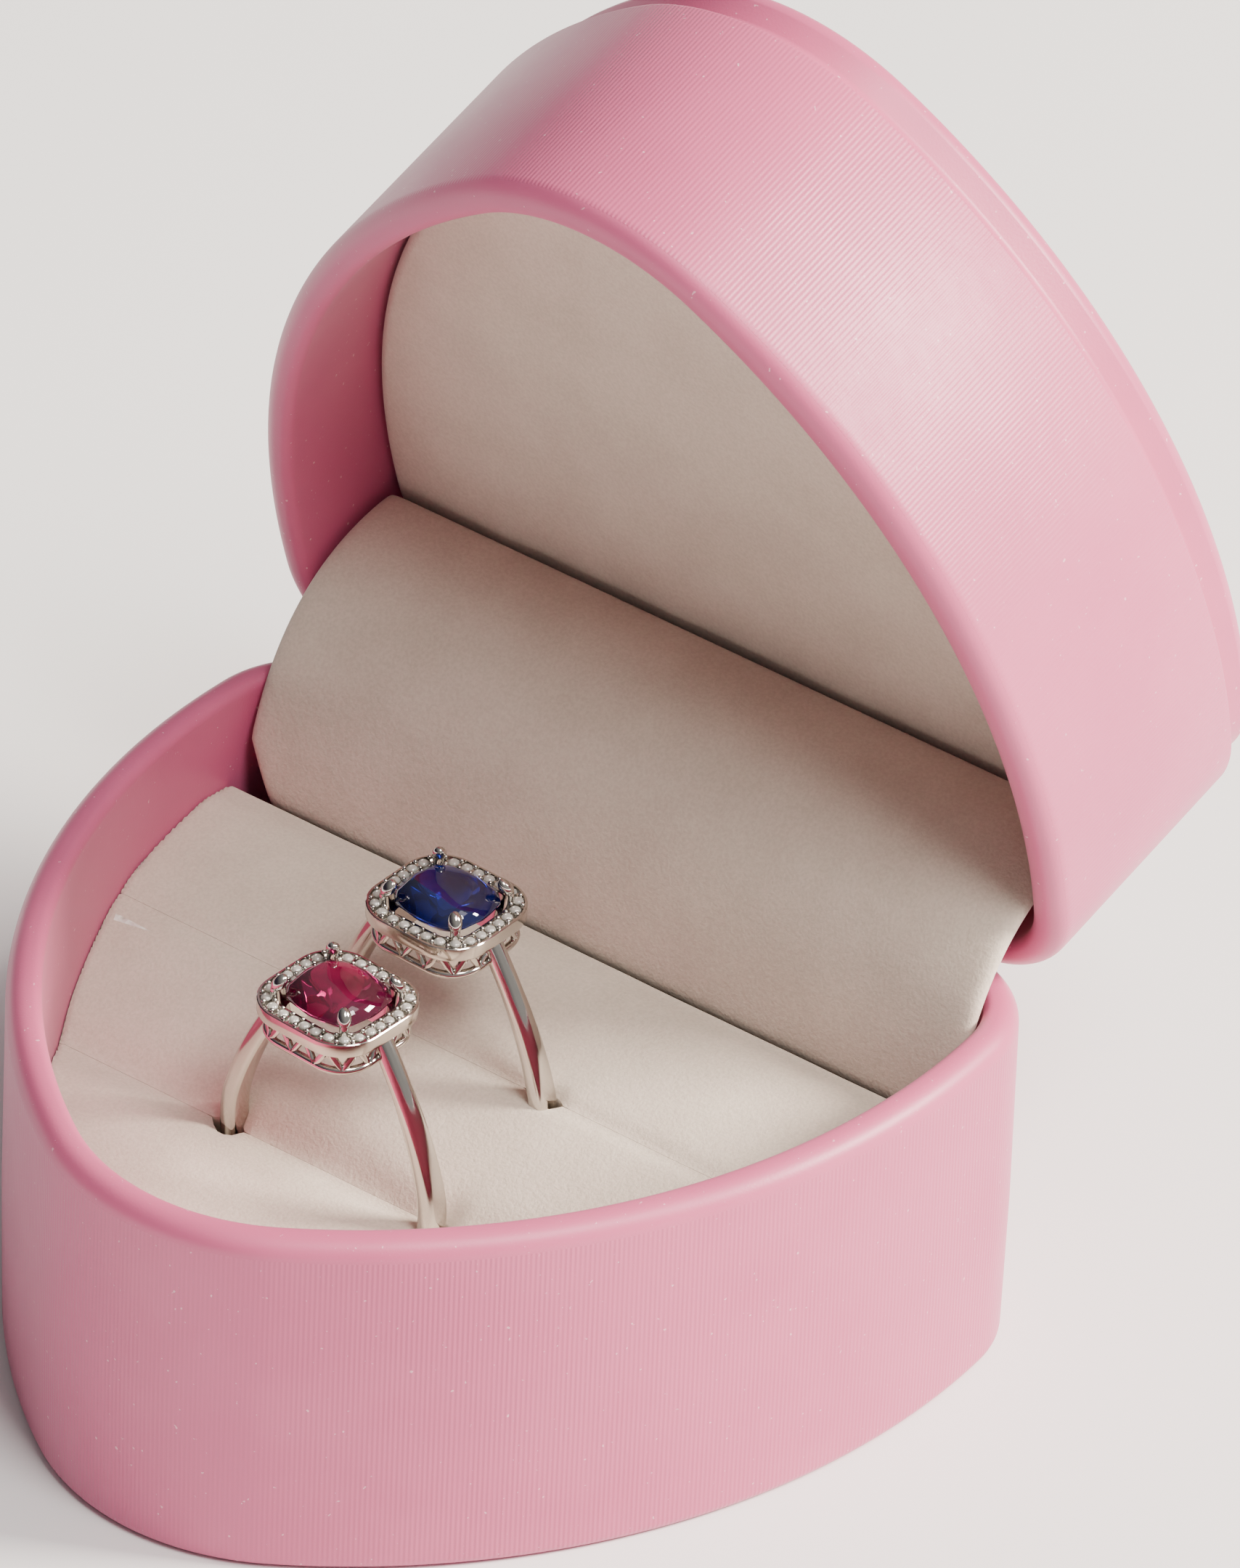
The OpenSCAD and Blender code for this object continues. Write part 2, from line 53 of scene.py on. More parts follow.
# %% Sizes of the box
MM = 0.001
BODY_W, BODY_L, BASE_H = 70 * MM, 62.7 * MM, 28.7 * MM
LID_WALL_H, CROWN_H, CROWN_INSET = 21 * MM, 4.2 * MM, 1 * MM
WALL, FLOOR, RIM_OUT, RIM_IN = 2.6 * MM, 2.2 * MM, 1.6 * MM, 0.8 * MM
CORNER_R, TIP_R, SIDE_R = 9 * MM, 70 * 0.268 * MM, 70 * 0.796 * MM
BACK_Y = BODY_L / 2
OPEN = math.radians(76)
HINGE_Y, HINGE_Z = BACK_Y - 1.25 * MM, BASE_H - 1 * MM
LID_Z = BASE_H + 0.2 * MM
LID_TOP = LID_Z + LID_WALL_H
PAD_Z = BASE_H + 10.3 * MM
LEDGE_Z = PAD_Z + 3.6 * MM
NOTCH_X, NOTCH_LOW, NOTCH_HIGH = 15.3 * MM, HINGE_Z - 2 * MM, HINGE_Z + 2 * MM
print("base rim at", BASE_H, "lid top shut at", LID_TOP)

# %% [markdown]
# ## Putting a grid of points into a mesh
# Every new surface here is a grid: rows run along one parameter and columns along the other.
# A mesh could be built vertex by vertex, but whole arrays are quicker and say more about the
# shape. The columns always run right round. The rows can too, or a fan can close each end.

# %% Grid to mesh


def cells(rows, cols, wrap_rows):
    """Row and column number of every cell. The last column always joins the first."""
    i = np.arange(rows if wrap_rows else rows - 1)[:, None]
    return np.broadcast_arrays(i, np.arange(cols)[None, :])


def grid_faces(rows, cols, wrap_rows):
    """Corner numbers of the quads between neighbouring rows and columns, as an (n, 4) array."""
    i, j = cells(rows, cols, wrap_rows)
    i2, j2 = (i + 1) % rows, (j + 1) % cols
    quads = np.stack([i * cols + j, i * cols + j2, i2 * cols + j2, i2 * cols + j], -1)
    return quads.reshape(-1, 4)


def grid_uv(rows, cols, wrap_rows, u, v):
    """Corner coordinates that match grid_faces: u goes along the columns, v along the rows."""
    i, j = cells(rows, cols, wrap_rows)
    us, vs = u[np.stack([j, j + 1, j + 1, j], -1)], v[np.stack([i, i, i + 1, i + 1], -1)]
    return np.stack([us, vs], -1).reshape(-1, 2)


def volume(points, quads, tris):
    """Signed volume inside the faces: a sixth of the sum of each triangle's triple product."""
    t = np.concatenate([quads[:, [0, 1, 2]], quads[:, [0, 2, 3]], tris])
    a, b, c = points[t[:, 0]], points[t[:, 1]], points[t[:, 2]]
    return np.einsum("ij,ij->i", a, np.cross(b, c)).sum() / 6


SAME_PLACE, NO_LENGTH = 1e-7, 1e-8


def merge_doubles(mesh):
    """Joins points that stand on each other, which takes away the faces between them."""
    work = bmesh.new()
    work.from_mesh(mesh)
    bmesh.ops.remove_doubles(work, verts=work.verts, dist=SAME_PLACE)
    bmesh.ops.dissolve_degenerate(work, edges=work.edges, dist=NO_LENGTH)
    work.to_mesh(mesh)
    work.free()


def to_object(name, points, quads, tris=None, uv=None, smooth=35, flip=None):
    """Makes an object of quads and triangles whose faces point out, smooth below an angle."""
    tris = np.zeros((0, 3), int) if tris is None else tris
    turn = volume(points, quads, tris) < 0 if flip is None else flip
    if turn:
        quads, tris = quads[:, ::-1], tris[:, ::-1]
    mesh = bpy.data.meshes.new(name)
    mesh.vertices.add(len(points))
    mesh.vertices.foreach_set("co", points.astype(np.float32).ravel())
    corners = np.concatenate([quads.ravel(), tris.ravel()])
    mesh.loops.add(len(corners))
    mesh.loops.foreach_set("vertex_index", corners.astype(np.int32))
    quad_starts = np.arange(len(quads)) * 4
    starts = np.concatenate([quad_starts, len(quads) * 4 + np.arange(len(tris)) * 3])
    mesh.polygons.add(len(starts))
    mesh.polygons.foreach_set("loop_start", starts.astype(np.int32))
    if uv is not None:
        flat = uv.reshape(-1, 4, 2)
        flat = flat[:, ::-1] if turn else flat
        every = np.concatenate([flat.reshape(-1, 2), points[tris.ravel()][:, :2]])
        layer = mesh.uv_layers.new(name="UVMap")
        layer.data.foreach_set("uv", every.astype(np.float32).ravel())
    mesh.update(calc_edges=True)
    merge_doubles(mesh)
    if smooth:
        mesh.shade_smooth()
        mesh.set_sharp_from_angle(angle=math.radians(smooth))
    piece = bpy.data.objects.new(name, mesh)
    bpy.context.scene.collection.objects.link(piece)
    return piece


def skin(name, grid, rows_closed=False, fans=True, u=None, v=None, smooth=35):
    """A surface through a (rows, columns, 3) grid; fans close an open first and last row."""
    rows, cols = grid.shape[:2]
    points = grid.reshape(-1, 3)
    quads = grid_faces(rows, cols, rows_closed)
    tris = np.zeros((0, 3), int)
    if fans and not rows_closed:
        ends = np.stack([grid[0].mean(0), grid[-1].mean(0)])
        j = np.arange(cols)
        j2 = (j + 1) % cols
        first = np.stack([np.full_like(j, rows * cols), j2, j], -1)
        low = (rows - 1) * cols
        last = np.stack([np.full_like(j, rows * cols + 1), low + j, low + j2], -1)
        points, tris = np.concatenate([points, ends]), np.concatenate([first, last])
    u = np.linspace(0, 1, cols + 1) if u is None else u
    v = np.linspace(0, 1, rows + 1) if v is None else v
    uv = grid_uv(rows, cols, rows_closed, u, v)
    return to_object(name, points, quads, tris, uv, smooth)


print("grid helpers ready")

# %% [markdown]
# ## The outline
# Seen from above, the box has a flat back, two small corners, two long arcs and a round tip.
# Each stretch is an arc of a circle, so a wall at any distance from the outline is exact: the
# point moves along its own outward normal. The walk starts at the middle of the back.

# %% Outline of the box
corner_c = np.array([BODY_W / 2 - CORNER_R, BACK_Y - CORNER_R])
tip_c = np.array([0, TIP_R - BACK_Y])
span = np.linalg.norm(corner_c - tip_c)
toward = (corner_c - tip_c) / span
reach = ((SIDE_R - TIP_R) ** 2 - (SIDE_R - CORNER_R) ** 2 + span**2) / (2 * span)
rise = math.sqrt((SIDE_R - TIP_R) ** 2 - reach**2)
side_c = tip_c + toward * reach + np.array([-toward[1], toward[0]]) * rise
tip_a = math.degrees(math.atan2(tip_c[1] - side_c[1], tip_c[0] - side_c[0]))
corner_a = math.degrees(math.atan2(corner_c[1] - side_c[1], corner_c[0] - side_c[0]))
print("side arc centre", side_c.round(5), "angles", round(tip_a, 2), round(corner_a, 2))


def arc_run(centre, radius, a0, a1, n):
    """n points from angle a0 up to a1, without the last: centre plus radius along the angle."""
    a = np.radians(np.linspace(a0, a1, n, endpoint=False))
    way = np.stack([np.cos(a), np.sin(a)], -1)
    return centre + radius * way, way


def straight_run(x0, x1, n):
    """n points along the flat back from x0 to x1, without the last; they all face +Y."""
    x = np.linspace(x0, x1, n, endpoint=False)
    return np.stack([x, np.full(n, BACK_Y)], -1), np.tile([0.0, 1.0], (n, 1))


def walk(step=0.9 * MM, notch=True):
    """Outline points and outward normals, counter-clockwise from the middle of the back.

    A doubled column stands at each side of the hinge notch, so the notch can have upright ends.
    """
    def many(length):
        return max(6, int(length / step))

    flip = np.array([-1, 1])
    in_notch, beside_notch, no_way = 14, 12, 1e-9
    side_n = many(math.radians(corner_a - tip_a) * SIDE_R)
    corner_n = many(math.radians(90 - corner_a) * CORNER_R * 1.6)
    tip_n = many(TIP_R * 1.534)
    runs = [straight_run(0, -NOTCH_X, in_notch)]
    if notch:
        runs.append(straight_run(-NOTCH_X, -NOTCH_X - no_way, 1))
    runs += [
        straight_run(-NOTCH_X, -corner_c[0], beside_notch),
        arc_run(corner_c * flip, CORNER_R, 90, 180 - corner_a, corner_n),
        arc_run(side_c * flip, SIDE_R, 180 - corner_a, 180 - tip_a, side_n),
        arc_run(tip_c, TIP_R, 180 - tip_a, 360 + tip_a, tip_n),
        arc_run(side_c, SIDE_R, 360 + tip_a, 360 + corner_a, side_n),
        arc_run(corner_c, CORNER_R, corner_a, 90, corner_n),
        straight_run(corner_c[0], NOTCH_X, beside_notch),
    ]
    if notch:
        runs.append(straight_run(NOTCH_X, NOTCH_X - no_way, 1))
    runs.append(straight_run(NOTCH_X, 0, in_notch))
    return np.concatenate([r[0] for r in runs]), np.concatenate([r[1] for r in runs])


def lengths(points):
    """Distance walked at each point of a closed line, and at its end."""
    steps = np.linalg.norm(np.roll(points, -1, axis=0) - points, axis=1)
    return np.concatenate([[0], np.cumsum(steps)])


def arc(centre, r, a0, a1, n):
    """n + 1 points of a section's arc, as (outward distance, height)."""
    a = np.radians(np.linspace(a0, a1, n + 1))
    return np.stack([centre[0] + r * np.cos(a), centre[1] + r * np.sin(a)], -1)


def carried(section, keep=None, rim=None):
    """Grid of a section carried round the outline: outline + distance x normal, at its height.

    keep shrinks a row towards the middle, to 0 for a floor's centre. rim gives the height that
    the notch cuts down to (base) or up to (lid) between the two doubled columns.
    """
    line, face = walk(notch=rim is not None)
    keep = np.ones(len(section)) if keep is None else keep
    flat = (line[None] + face[None] * section[:, :1, None]) * keep[:, None, None]
    z = np.repeat(section[:, 1:2], len(line), 1)
    if rim is not None:
        low, high = rim
        inside = np.abs(line[:, 0]) < NOTCH_X + 0.01 * MM
        inside &= line[:, 1] > BACK_Y - 0.001 * MM
        doubled = np.flatnonzero(np.abs(np.abs(line[:, 0]) - NOTCH_X) < 0.001 * MM)
        inside[doubled[[1, -2]]] = False  # the outer column of each pair keeps its full height
        z = np.where(inside[None], np.clip(z, low, high), z)
    return np.concatenate([flat, z[..., None]], -1), lengths(line)


line, _ = walk()
print("outline:", len(line), "points,", round(lengths(line)[-1] * 1000, 1), "mm round")

# %% [markdown]
# ## Opening the lid
# The lid is drawn shut, where its sizes are plain, and then turned about the hinge to the pose
# that the frame rests in. The turn is worked into the points, so each object stays unturned.

# %% Turn about the hinge


def opened(points):
    """Turns points about the hinge line by the opening angle, the rim going up and back."""
    y, z = points[..., 1] - HINGE_Y, points[..., 2] - HINGE_Z
    c, s = math.cos(OPEN), math.sin(OPEN)
    out = points.copy()
    out[..., 1] = HINGE_Y + y * c + z * s
    out[..., 2] = HINGE_Z - y * s + z * c
    return out


# %% [markdown]
# ## Shader sums written as sums
# A finish is easier to read as an expression than as a web of nodes. The class below wraps one
# socket and gives it + and *, and the Finish class hands out every other kind of node.

# %% Sockets that add up


class Val:
    """One output of a node tree, which can be used in ordinary sums."""

    def __init__(self, finish, socket):
        self.finish, self.socket = finish, socket

    def maths(self, operation, a, b):
        return self.finish.node("ShaderNodeMath", {"operation": operation}, {0: a, 1: b})

    def __add__(self, other):
        return self.maths("ADD", self, other)

    def __mul__(self, other):
        return self.maths("MULTIPLY", self, other)

    __radd__, __rmul__ = __add__, __mul__

    def between(self, low, high, to_low=0.0, to_high=1.0):
        """This value's place between low and high, smoothed and clamped."""
        return self.finish.node(
            "ShaderNodeMapRange",
            {"interpolation_type": "SMOOTHSTEP"},
            {"Value": self, "From Min": low, "From Max": high, "To Min": to_low, "To Max": to_high},
        )


class Finish:
    """A material being mixed."""

    def __init__(self, name):
        self.material = bpy.data.materials.new(name)
        self.material.use_nodes = True
        self.tree = self.material.node_tree
        self.tree.nodes.clear()

    def node(self, kind, settings=None, values=None, out=0):
        """Adds a node: its settings first, then the values or links of its sockets."""
        n = self.tree.nodes.new(kind)
        for key, value in (settings or {}).items():
            setattr(n, key, value)
        for key, value in (values or {}).items():
            if isinstance(value, Val):
                self.tree.links.new(value.socket, n.inputs[key])
            else:
                n.inputs[key].default_value = value
        return Val(self, n.outputs[out]) if len(n.outputs) else n

    def place(self, kind="Object"):
        """Where a point is: its object coordinates, or its own UV map."""
        out = {"Object": 3, "UV": 2}[kind]
        return self.node("ShaderNodeTexCoord", out=out)

    def stretch(self, where, scale):
        """Coordinates scaled by three numbers."""
        values = {0: where, 1: scale}
        return self.node("ShaderNodeVectorMath", {"operation": "MULTIPLY"}, values)

    def axis(self, where, letter):
        """One of the three numbers of a place."""
        return self.node("ShaderNodeSeparateXYZ", None, {0: where}, out="XYZ".index(letter))

    def noise(self, where, scale, detail=2.0, rough=0.5):
        """Smooth random values from 0 to 1, scale blobs to the metre."""
        values = {"Vector": where, "Scale": scale, "Detail": detail, "Roughness": rough}
        return self.node("ShaderNodeTexNoise", None, values)

    def mix(self, amount, a, b):
        """A colour that goes from a to b as the amount goes from 0 to 1.

        The node keeps one set of sockets for each kind of value; 6, 7 and 2 are the colours.
        """
        first, second = [(*c, 1) if isinstance(c, tuple) else c for c in (a, b)]
        values = {0: amount, 6: first, 7: second}
        return self.node("ShaderNodeMix", {"data_type": "RGBA"}, values, out=2)

    def bump(self, height, depth, strength=1.0):
        """A normal from a height of 0 to 1 that stands for depth metres."""
        values = {"Height": height, "Distance": depth, "Strength": strength}
        return self.node("ShaderNodeBump", None, values)

    def surface(self, **values):
        """Ends the material with one principled shader. Underscores stand for spaces."""
        shader = self.node(
            "ShaderNodeBsdfPrincipled", None, {k.replace("_", " "): v for k, v in values.items()}
        )
        self.node("ShaderNodeOutputMaterial", None, {"Surface": shader})
        return self.material


def dress(piece, material, body, slot, replaces):
    """Gives a piece its material, its body and the CAD nodes that it stands for."""
    piece.data.materials.clear()
    piece.data.materials.append(material)
    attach(piece, body)
    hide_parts(*replaces)


print("shader helpers ready")

# %% [markdown]
# ## Pink shell finish
# The shell is moulded plastic with a soft satin skin. Its walls carry very fine upright ribs,
# about a third of a millimetre apart, and a few pale specks of dust sit in them. The ribs are
# far finer than a mesh should carry, so they are a bump along the outline's own length, which
# the UV map holds in metres. The crown is the same plastic without ribs.

# %% Satin pink plastic
PINK, PINK_DEEP, DUST = (0.56, 0.11, 0.225), (0.47, 0.075, 0.18), (0.90, 0.62, 0.66)
RIB_PITCH = 0.36 * MM
RIB_MARK = 0.3  # the V coordinate of the rows that carry ribs; it is 0 on the others


def satin_pink(name, ribs):
    f = Finish(name)
    where = f.place()
    cloud = f.noise(where, 90, 3)
    grain = f.noise(where, 5200, 2)
    speck = f.noise(where, 2600, 1).between(0.74, 0.8)
    colour = f.mix(cloud.between(0.35, 0.7) * 0.35, PINK, PINK_DEEP)
    height = grain * 0.35
    if ribs:
        along = f.axis(f.place("UV"), "X") * (2 * math.pi / RIB_PITCH)
        wave = f.node("ShaderNodeMath", {"operation": "SINE"}, {0: along}) * 0.5 + 0.5
        waver = f.noise(f.stretch(where, (1, 1, 0.12)), 900, 2)
        rib = wave * waver.between(0.2, 0.75, 0.55, 1.0)
        on_wall = f.axis(f.place("UV"), "Y").between(0.1, 0.12)
        height = height + rib * on_wall * 0.7
        colour = f.mix(rib * on_wall * 0.1, colour, PINK_DEEP)
    colour = f.mix(speck * 0.5, colour, DUST)
    rough = cloud * 0.12 + 0.36
    return f.surface(
        Base_Color=colour,
        Roughness=rough,
        Normal=f.bump(height, 0.035 * MM, 0.8),
        Specular_IOR_Level=0.5,
        Subsurface_Weight=0.06,
        Subsurface_Radius=(0.004, 0.0015, 0.0015),
        Subsurface_Scale=0.4,
        Sheen_Weight=0.12,
        Sheen_Roughness=0.4,
    )


ribbed = satin_pink("pink_ribbed", True)
plain_pink = satin_pink("pink_plain", False)
print("pink finishes mixed")

# %% [markdown]
# ## Base shell
# The base is a tub: one wall section carried round the outline, closed by a floor. The section
# starts at the middle of the underside, rounds the foot, climbs the wall, rolls over the rim
# and comes down inside to the middle of the floor. A lathe could not do it, as the plan isn't
# round, and an extrusion would leave the rim square.

# %% Base shell
under = np.array([[-4 * MM, 0], [-4 * MM, 0]])
foot = arc((-1.2 * MM, 1 * MM), 1 * MM, -90, 0, 6)
wall_out = np.array([[-0.14 * MM, 4 * MM], [0, 12 * MM], [0, 20 * MM]])
rim = np.concatenate([
    arc((-RIM_OUT, BASE_H - RIM_OUT), RIM_OUT, 0, 90, 12),
    arc((RIM_IN - WALL, BASE_H - RIM_IN), RIM_IN, 90, 180, 8),
])
wall_in = np.array([[-WALL, 18 * MM], [-WALL, FLOOR], [-4 * MM, FLOOR], [-4 * MM, FLOOR]])
base_section = np.concatenate([under, foot, wall_out, rim, wall_in])
HALFWAY = 0.5  # draws a row half of the way in, so that the fan over the middle is small
keep = np.ones(len(base_section))
keep[[0, -1]] = HALFWAY
grid, round_length = carried(base_section, keep, (0, NOTCH_LOW))
ribbed_rows = (base_section[:, 0] > -0.6 * MM) & (base_section[:, 1] < BASE_H - 1.4 * MM)
heights = np.where(ribbed_rows, RIB_MARK, 0.0)
base_shell = skin("base_tub", grid, u=round_length, v=np.append(heights, 0))
dress(base_shell, ribbed, "base", "shell", ["base_shell"])
print("base shell:", len(base_shell.data.polygons), "faces")

# %% [markdown]
# ## Lid shell and crown
# The lid's wall is a closed ring: rim, outer wall, a crisp upper edge, and a small ledge inside
# that the pad's board rests on. The crown is a separate moulding pressed into it. It is set in
# a little behind a hollow cove, and rolls over in a soft lip to a flat top.

# %% Lid shell
lid_section = np.concatenate([
    arc((RIM_IN - WALL, LID_Z + RIM_IN), RIM_IN, 180, 270, 8),
    arc((-RIM_OUT, LID_Z + RIM_OUT), RIM_OUT, 270, 360, 12),
    [[0, LID_Z + 8 * MM], [0, LID_TOP - 0.25 * MM], [-0.07 * MM, LID_TOP - 0.07 * MM]],
    [[-0.25 * MM, LID_TOP], [-WALL, LID_TOP], [-WALL, LEDGE_Z + 3.2 * MM]],
    [[-WALL - 1.6 * MM, LEDGE_Z + 1.6 * MM], [-WALL - 1.6 * MM, LEDGE_Z], [-WALL, LEDGE_Z]],
    [[-WALL, LID_Z + 6 * MM]],
])
grid, round_length = carried(lid_section, None, (NOTCH_HIGH, 1))
ribbed_rows = (lid_section[:, 0] > -1.0 * MM) & (lid_section[:, 1] > LID_Z + 1 * MM)
heights = np.where(ribbed_rows, RIB_MARK, 0.0)
heights = np.append(heights, 0)
lid_shell = skin("lid_wall", opened(grid), rows_closed=True, u=round_length, v=heights)
dress(lid_shell, ribbed, "lid", "shell", ["lid_shell"])
print("lid shell:", len(lid_shell.data.polygons), "faces")

# %% Lid crown
lip_r, cove_r = CROWN_H * 0.36, CROWN_INSET + 0.25 * MM
top = LID_TOP + CROWN_H
spigot_out, spigot_in = -WALL - 0.1 * MM, -WALL - 1.5 * MM
crown_section = np.concatenate([
    [[-6 * MM, top - 1.8 * MM], [spigot_in - 1.2 * MM, top - 1.8 * MM]],
    [[spigot_in, top - 2.7 * MM], [spigot_in, LID_TOP - 2.2 * MM]],
    [[spigot_out, LID_TOP - 2.2 * MM], [spigot_out, LID_TOP], [-0.32 * MM, LID_TOP + 0.01 * MM]],
    arc((-0.3 * MM, LID_TOP + cove_r + 0.1 * MM), cove_r, 268, 180, 8),
    arc((-CROWN_INSET - lip_r, top - lip_r), lip_r, 0, 90, 16),
    [[-4.5 * MM, top], [-6 * MM, top]],
])
keep = np.ones(len(crown_section))
keep[[0, -1]] = HALFWAY
grid, round_length = carried(crown_section, keep)
lid_crown = skin("lid_crown_cap", opened(grid), u=round_length)
dress(lid_crown, plain_pink, "lid", "shell", ["lid_crown"])
print("crown:", len(lid_crown.data.polygons), "faces")

# %% [markdown]
# ## Velvet
# The insert is covered in short cream velvet. Up close the pile is a fine, soft grain that
# catches light at a grazing angle, and its tone drifts a little where it was stroked. A sheen
# does the first, and noise at three scales does the pile, the tufts and the drift.

# %% Cream velvet


def cream_velvet(name, tone, deep):
    f = Finish(name)
    where = f.place()
    pile = f.noise(where, 3800, 3, 0.6)
    tuft = f.noise(where, 1100, 2)
    drift = f.noise(where, 130, 3)
    colour = f.mix(pile.between(0.3, 0.7) * 0.45 + drift.between(0.35, 0.7) * 0.3, tone, deep)
    return f.surface(
        Base_Color=colour,
        Roughness=pile * 0.1 + 0.85,
        Normal=f.bump(pile * 0.7 + tuft * 0.5, 0.09 * MM, 0.9),
        Specular_IOR_Level=0.2,
        Sheen_Weight=0.35,
        Sheen_Roughness=0.45,
    )


velvet = cream_velvet("cream_velvet", (0.70, 0.60, 0.50), (0.53, 0.44, 0.36))
print("velvet mixed")

# %% [markdown]
# ## Insert strips
# Three velvet strips slope down to the tip, and each pair meets in a slot that grips a ring.
# Real ones are foam wrapped in cloth: a gentle crown, soft round edges at the slots, a small
# roll-off at the wall, and a pinch where a band pushes the lips apart. A simulated cloth is
# likely to bridge slots this thin, so each strip is one function: a section that runs over the
# top, down behind the lip and back underneath, carried from wall to wall.

# %% Strip helpers
SLOT_REAR, SLOT_FRONT = BACK_Y - 24.2 * MM, BACK_Y - 36.1 * MM
STRIP_BACK = BACK_Y - 10.3 * MM
STRIP_TIP = -BACK_Y + WALL
SEATS = [(-2.6 * MM, SLOT_FRONT, 16.2 * MM, -4), (-2.2 * MM, SLOT_REAR, 18.05 * MM, -2)]
NO_RING = 1.0  # a seat a metre away, which pinches nothing
SLOT_HALF = 0.012 * MM
VALLEY_FRONT, VALLEY_REAR = (0.58, 1.7 * MM), (0.26, 0.9 * MM)  # depth in mm, reach
line, face = walk(0.5 * MM, notch=False)
inner = line - face * (WALL + 0.08 * MM)


def half_width(y):
    """Distance from the middle to the inner wall at each y, read off the inner outline."""
    side = inner[inner[:, 0] >= 0]
    side = side[np.argsort(side[:, 1])]
    side = side[side[:, 1] < STRIP_BACK + 3 * MM]
    return np.interp(y, side[:, 1], side[:, 0])


def to_wall(x, y):
    """Distance from each point to the nearest point of the inner outline."""
    d = np.hypot(x[..., None] - inner[:, 0], y[..., None] - inner[:, 1])
    return d.min(-1)


def roll_off(d, r):
    """How far a rounded edge of radius r has dropped at a distance d from the edge."""
    d = np.clip(d, 0, r)
    return r - np.sqrt(np.maximum(r * r - (r - d) ** 2, 0))


def pinch(x, seat):
    """1 where a band crosses the slot on either side of the seat, and 0 away from it."""
    return np.exp(-(((np.abs(x - seat) - 9.35 * MM) / (1.1 * MM)) ** 4))


def crowded(n, ends=0.5):
    """n places from 0 to 1, closer together at both ends."""
    t = np.linspace(0, 1, n)
    return t * (1 - ends) + ends * (1 - np.cos(t * math.pi)) / 2


def drift(x, y, size):
    """A slow unevenness: the sum of four waves, at most size high."""
    a = np.sin(x * 410 + 1.3) * np.cos(y * 530 + 0.4) + np.sin(x * 170 - y * 260 + 2.1)
    b = np.sin(x * 830 - y * 710 + 0.9) * 0.5 + np.cos(x * 90 + y * 350) * 0.8
    return (a + b) * size / 3.3


def strip(name, y0, y1, z0, z1, slot_front, slot_back, seat_front, seat_back):
    """One padded strip from y0 to y1 whose top climbs from z0 to z1.

    Point = (across x half width, y, slope + crown - roll-off at the wall - soft valley at a slot),
    then a lip that is drawn back under itself, and a flat underside.
    """
    b = crowded(70, 0.85)
    a = crowded(121, 0.7) * 2 - 1
    y = y0 + (y1 - y0) * (b if slot_front else b**1.6)
    x = a[:, None] * half_width(y)[None]
    y = np.repeat(y[None], len(a), 0)
    slope = z0 + (z1 - z0) * (y - y0) / (y1 - y0)
    z = slope + 0.35 * MM * np.sin(np.pi * b)[None] * (1 - a[:, None] ** 4)
    z = z + drift(x, y, 0.05 * MM)
    z = z - roll_off(to_wall(x, y), 0.5 * MM)
    lips = []
    for edge, seat, here, sign in [(y0, seat_front, slot_front, 1), (y1, seat_back, slot_back, -1)]:
        d = np.abs(y - edge)
        push = pinch(x, seat) if here else 0 * x
        if here:
            low, reach = VALLEY_REAR if abs(edge - SLOT_REAR) < MM else VALLEY_FRONT
            z = z - (low * np.exp(-((d / reach) ** 2)) + 0.3 * push * np.exp(-d / MM)) * MM
            y = y + sign * push * np.exp(-d / (1.2 * MM)) * 0.85 * MM
        lips.append((push, sign, here))
    loops = [np.stack([x, y, z], -1)]
    for k, (push, sign, here) in ((-1, lips[1]), (0, lips[0])):
        edge = np.stack([x[:, k], y[:, k], z[:, k]], -1)[:, None]
        under, base = edge.copy(), edge.copy()
        if here:
            under[..., 1] += sign * (0.3 - 0.25 * push[:, k][:, None]) * MM
            base[..., 1] = under[..., 1]
        under[..., 2] -= 0.7 * MM
        base[..., 2] = slope[:, k][:, None] - 3.4 * MM
        loops.append(np.concatenate([under, base] if k == -1 else [base, under], 1))
    return skin(name, np.concatenate(loops, 1), smooth=60)


# %% Three strips
front_x, rear_x = SEATS[0][0], SEATS[1][0]
front_lip, front_bank = SLOT_FRONT - SLOT_HALF, SLOT_FRONT + SLOT_HALF
rear_lip, rear_bank = SLOT_REAR - SLOT_HALF, SLOT_REAR + SLOT_HALF
strips = [
    ("front", STRIP_TIP, front_lip, 12.75, 15.6, False, True, NO_RING, front_x),
    ("middle", front_bank, rear_lip, 15.6, 19.9, True, True, front_x, rear_x),
    ("rear", rear_bank, STRIP_BACK, 19.9, 21.6, True, True, rear_x, NO_RING),
]
for name, y0, y1, z0, z1, *rest in strips:
    piece = strip("velvet_strip_" + name, y0, y1, z0 * MM, z1 * MM, *rest)
    dress(piece, velvet, "base", "velvet", ["velvet_" + name])
    print(piece.name, len(piece.data.polygons), "faces")

# %% [markdown]
# ## Lid pad
# The lid holds one flat pad of the same velvet, wrapped over foam and a board. It fills the
# lid from wall to wall with a soft rolled edge, and swells a little towards its middle.

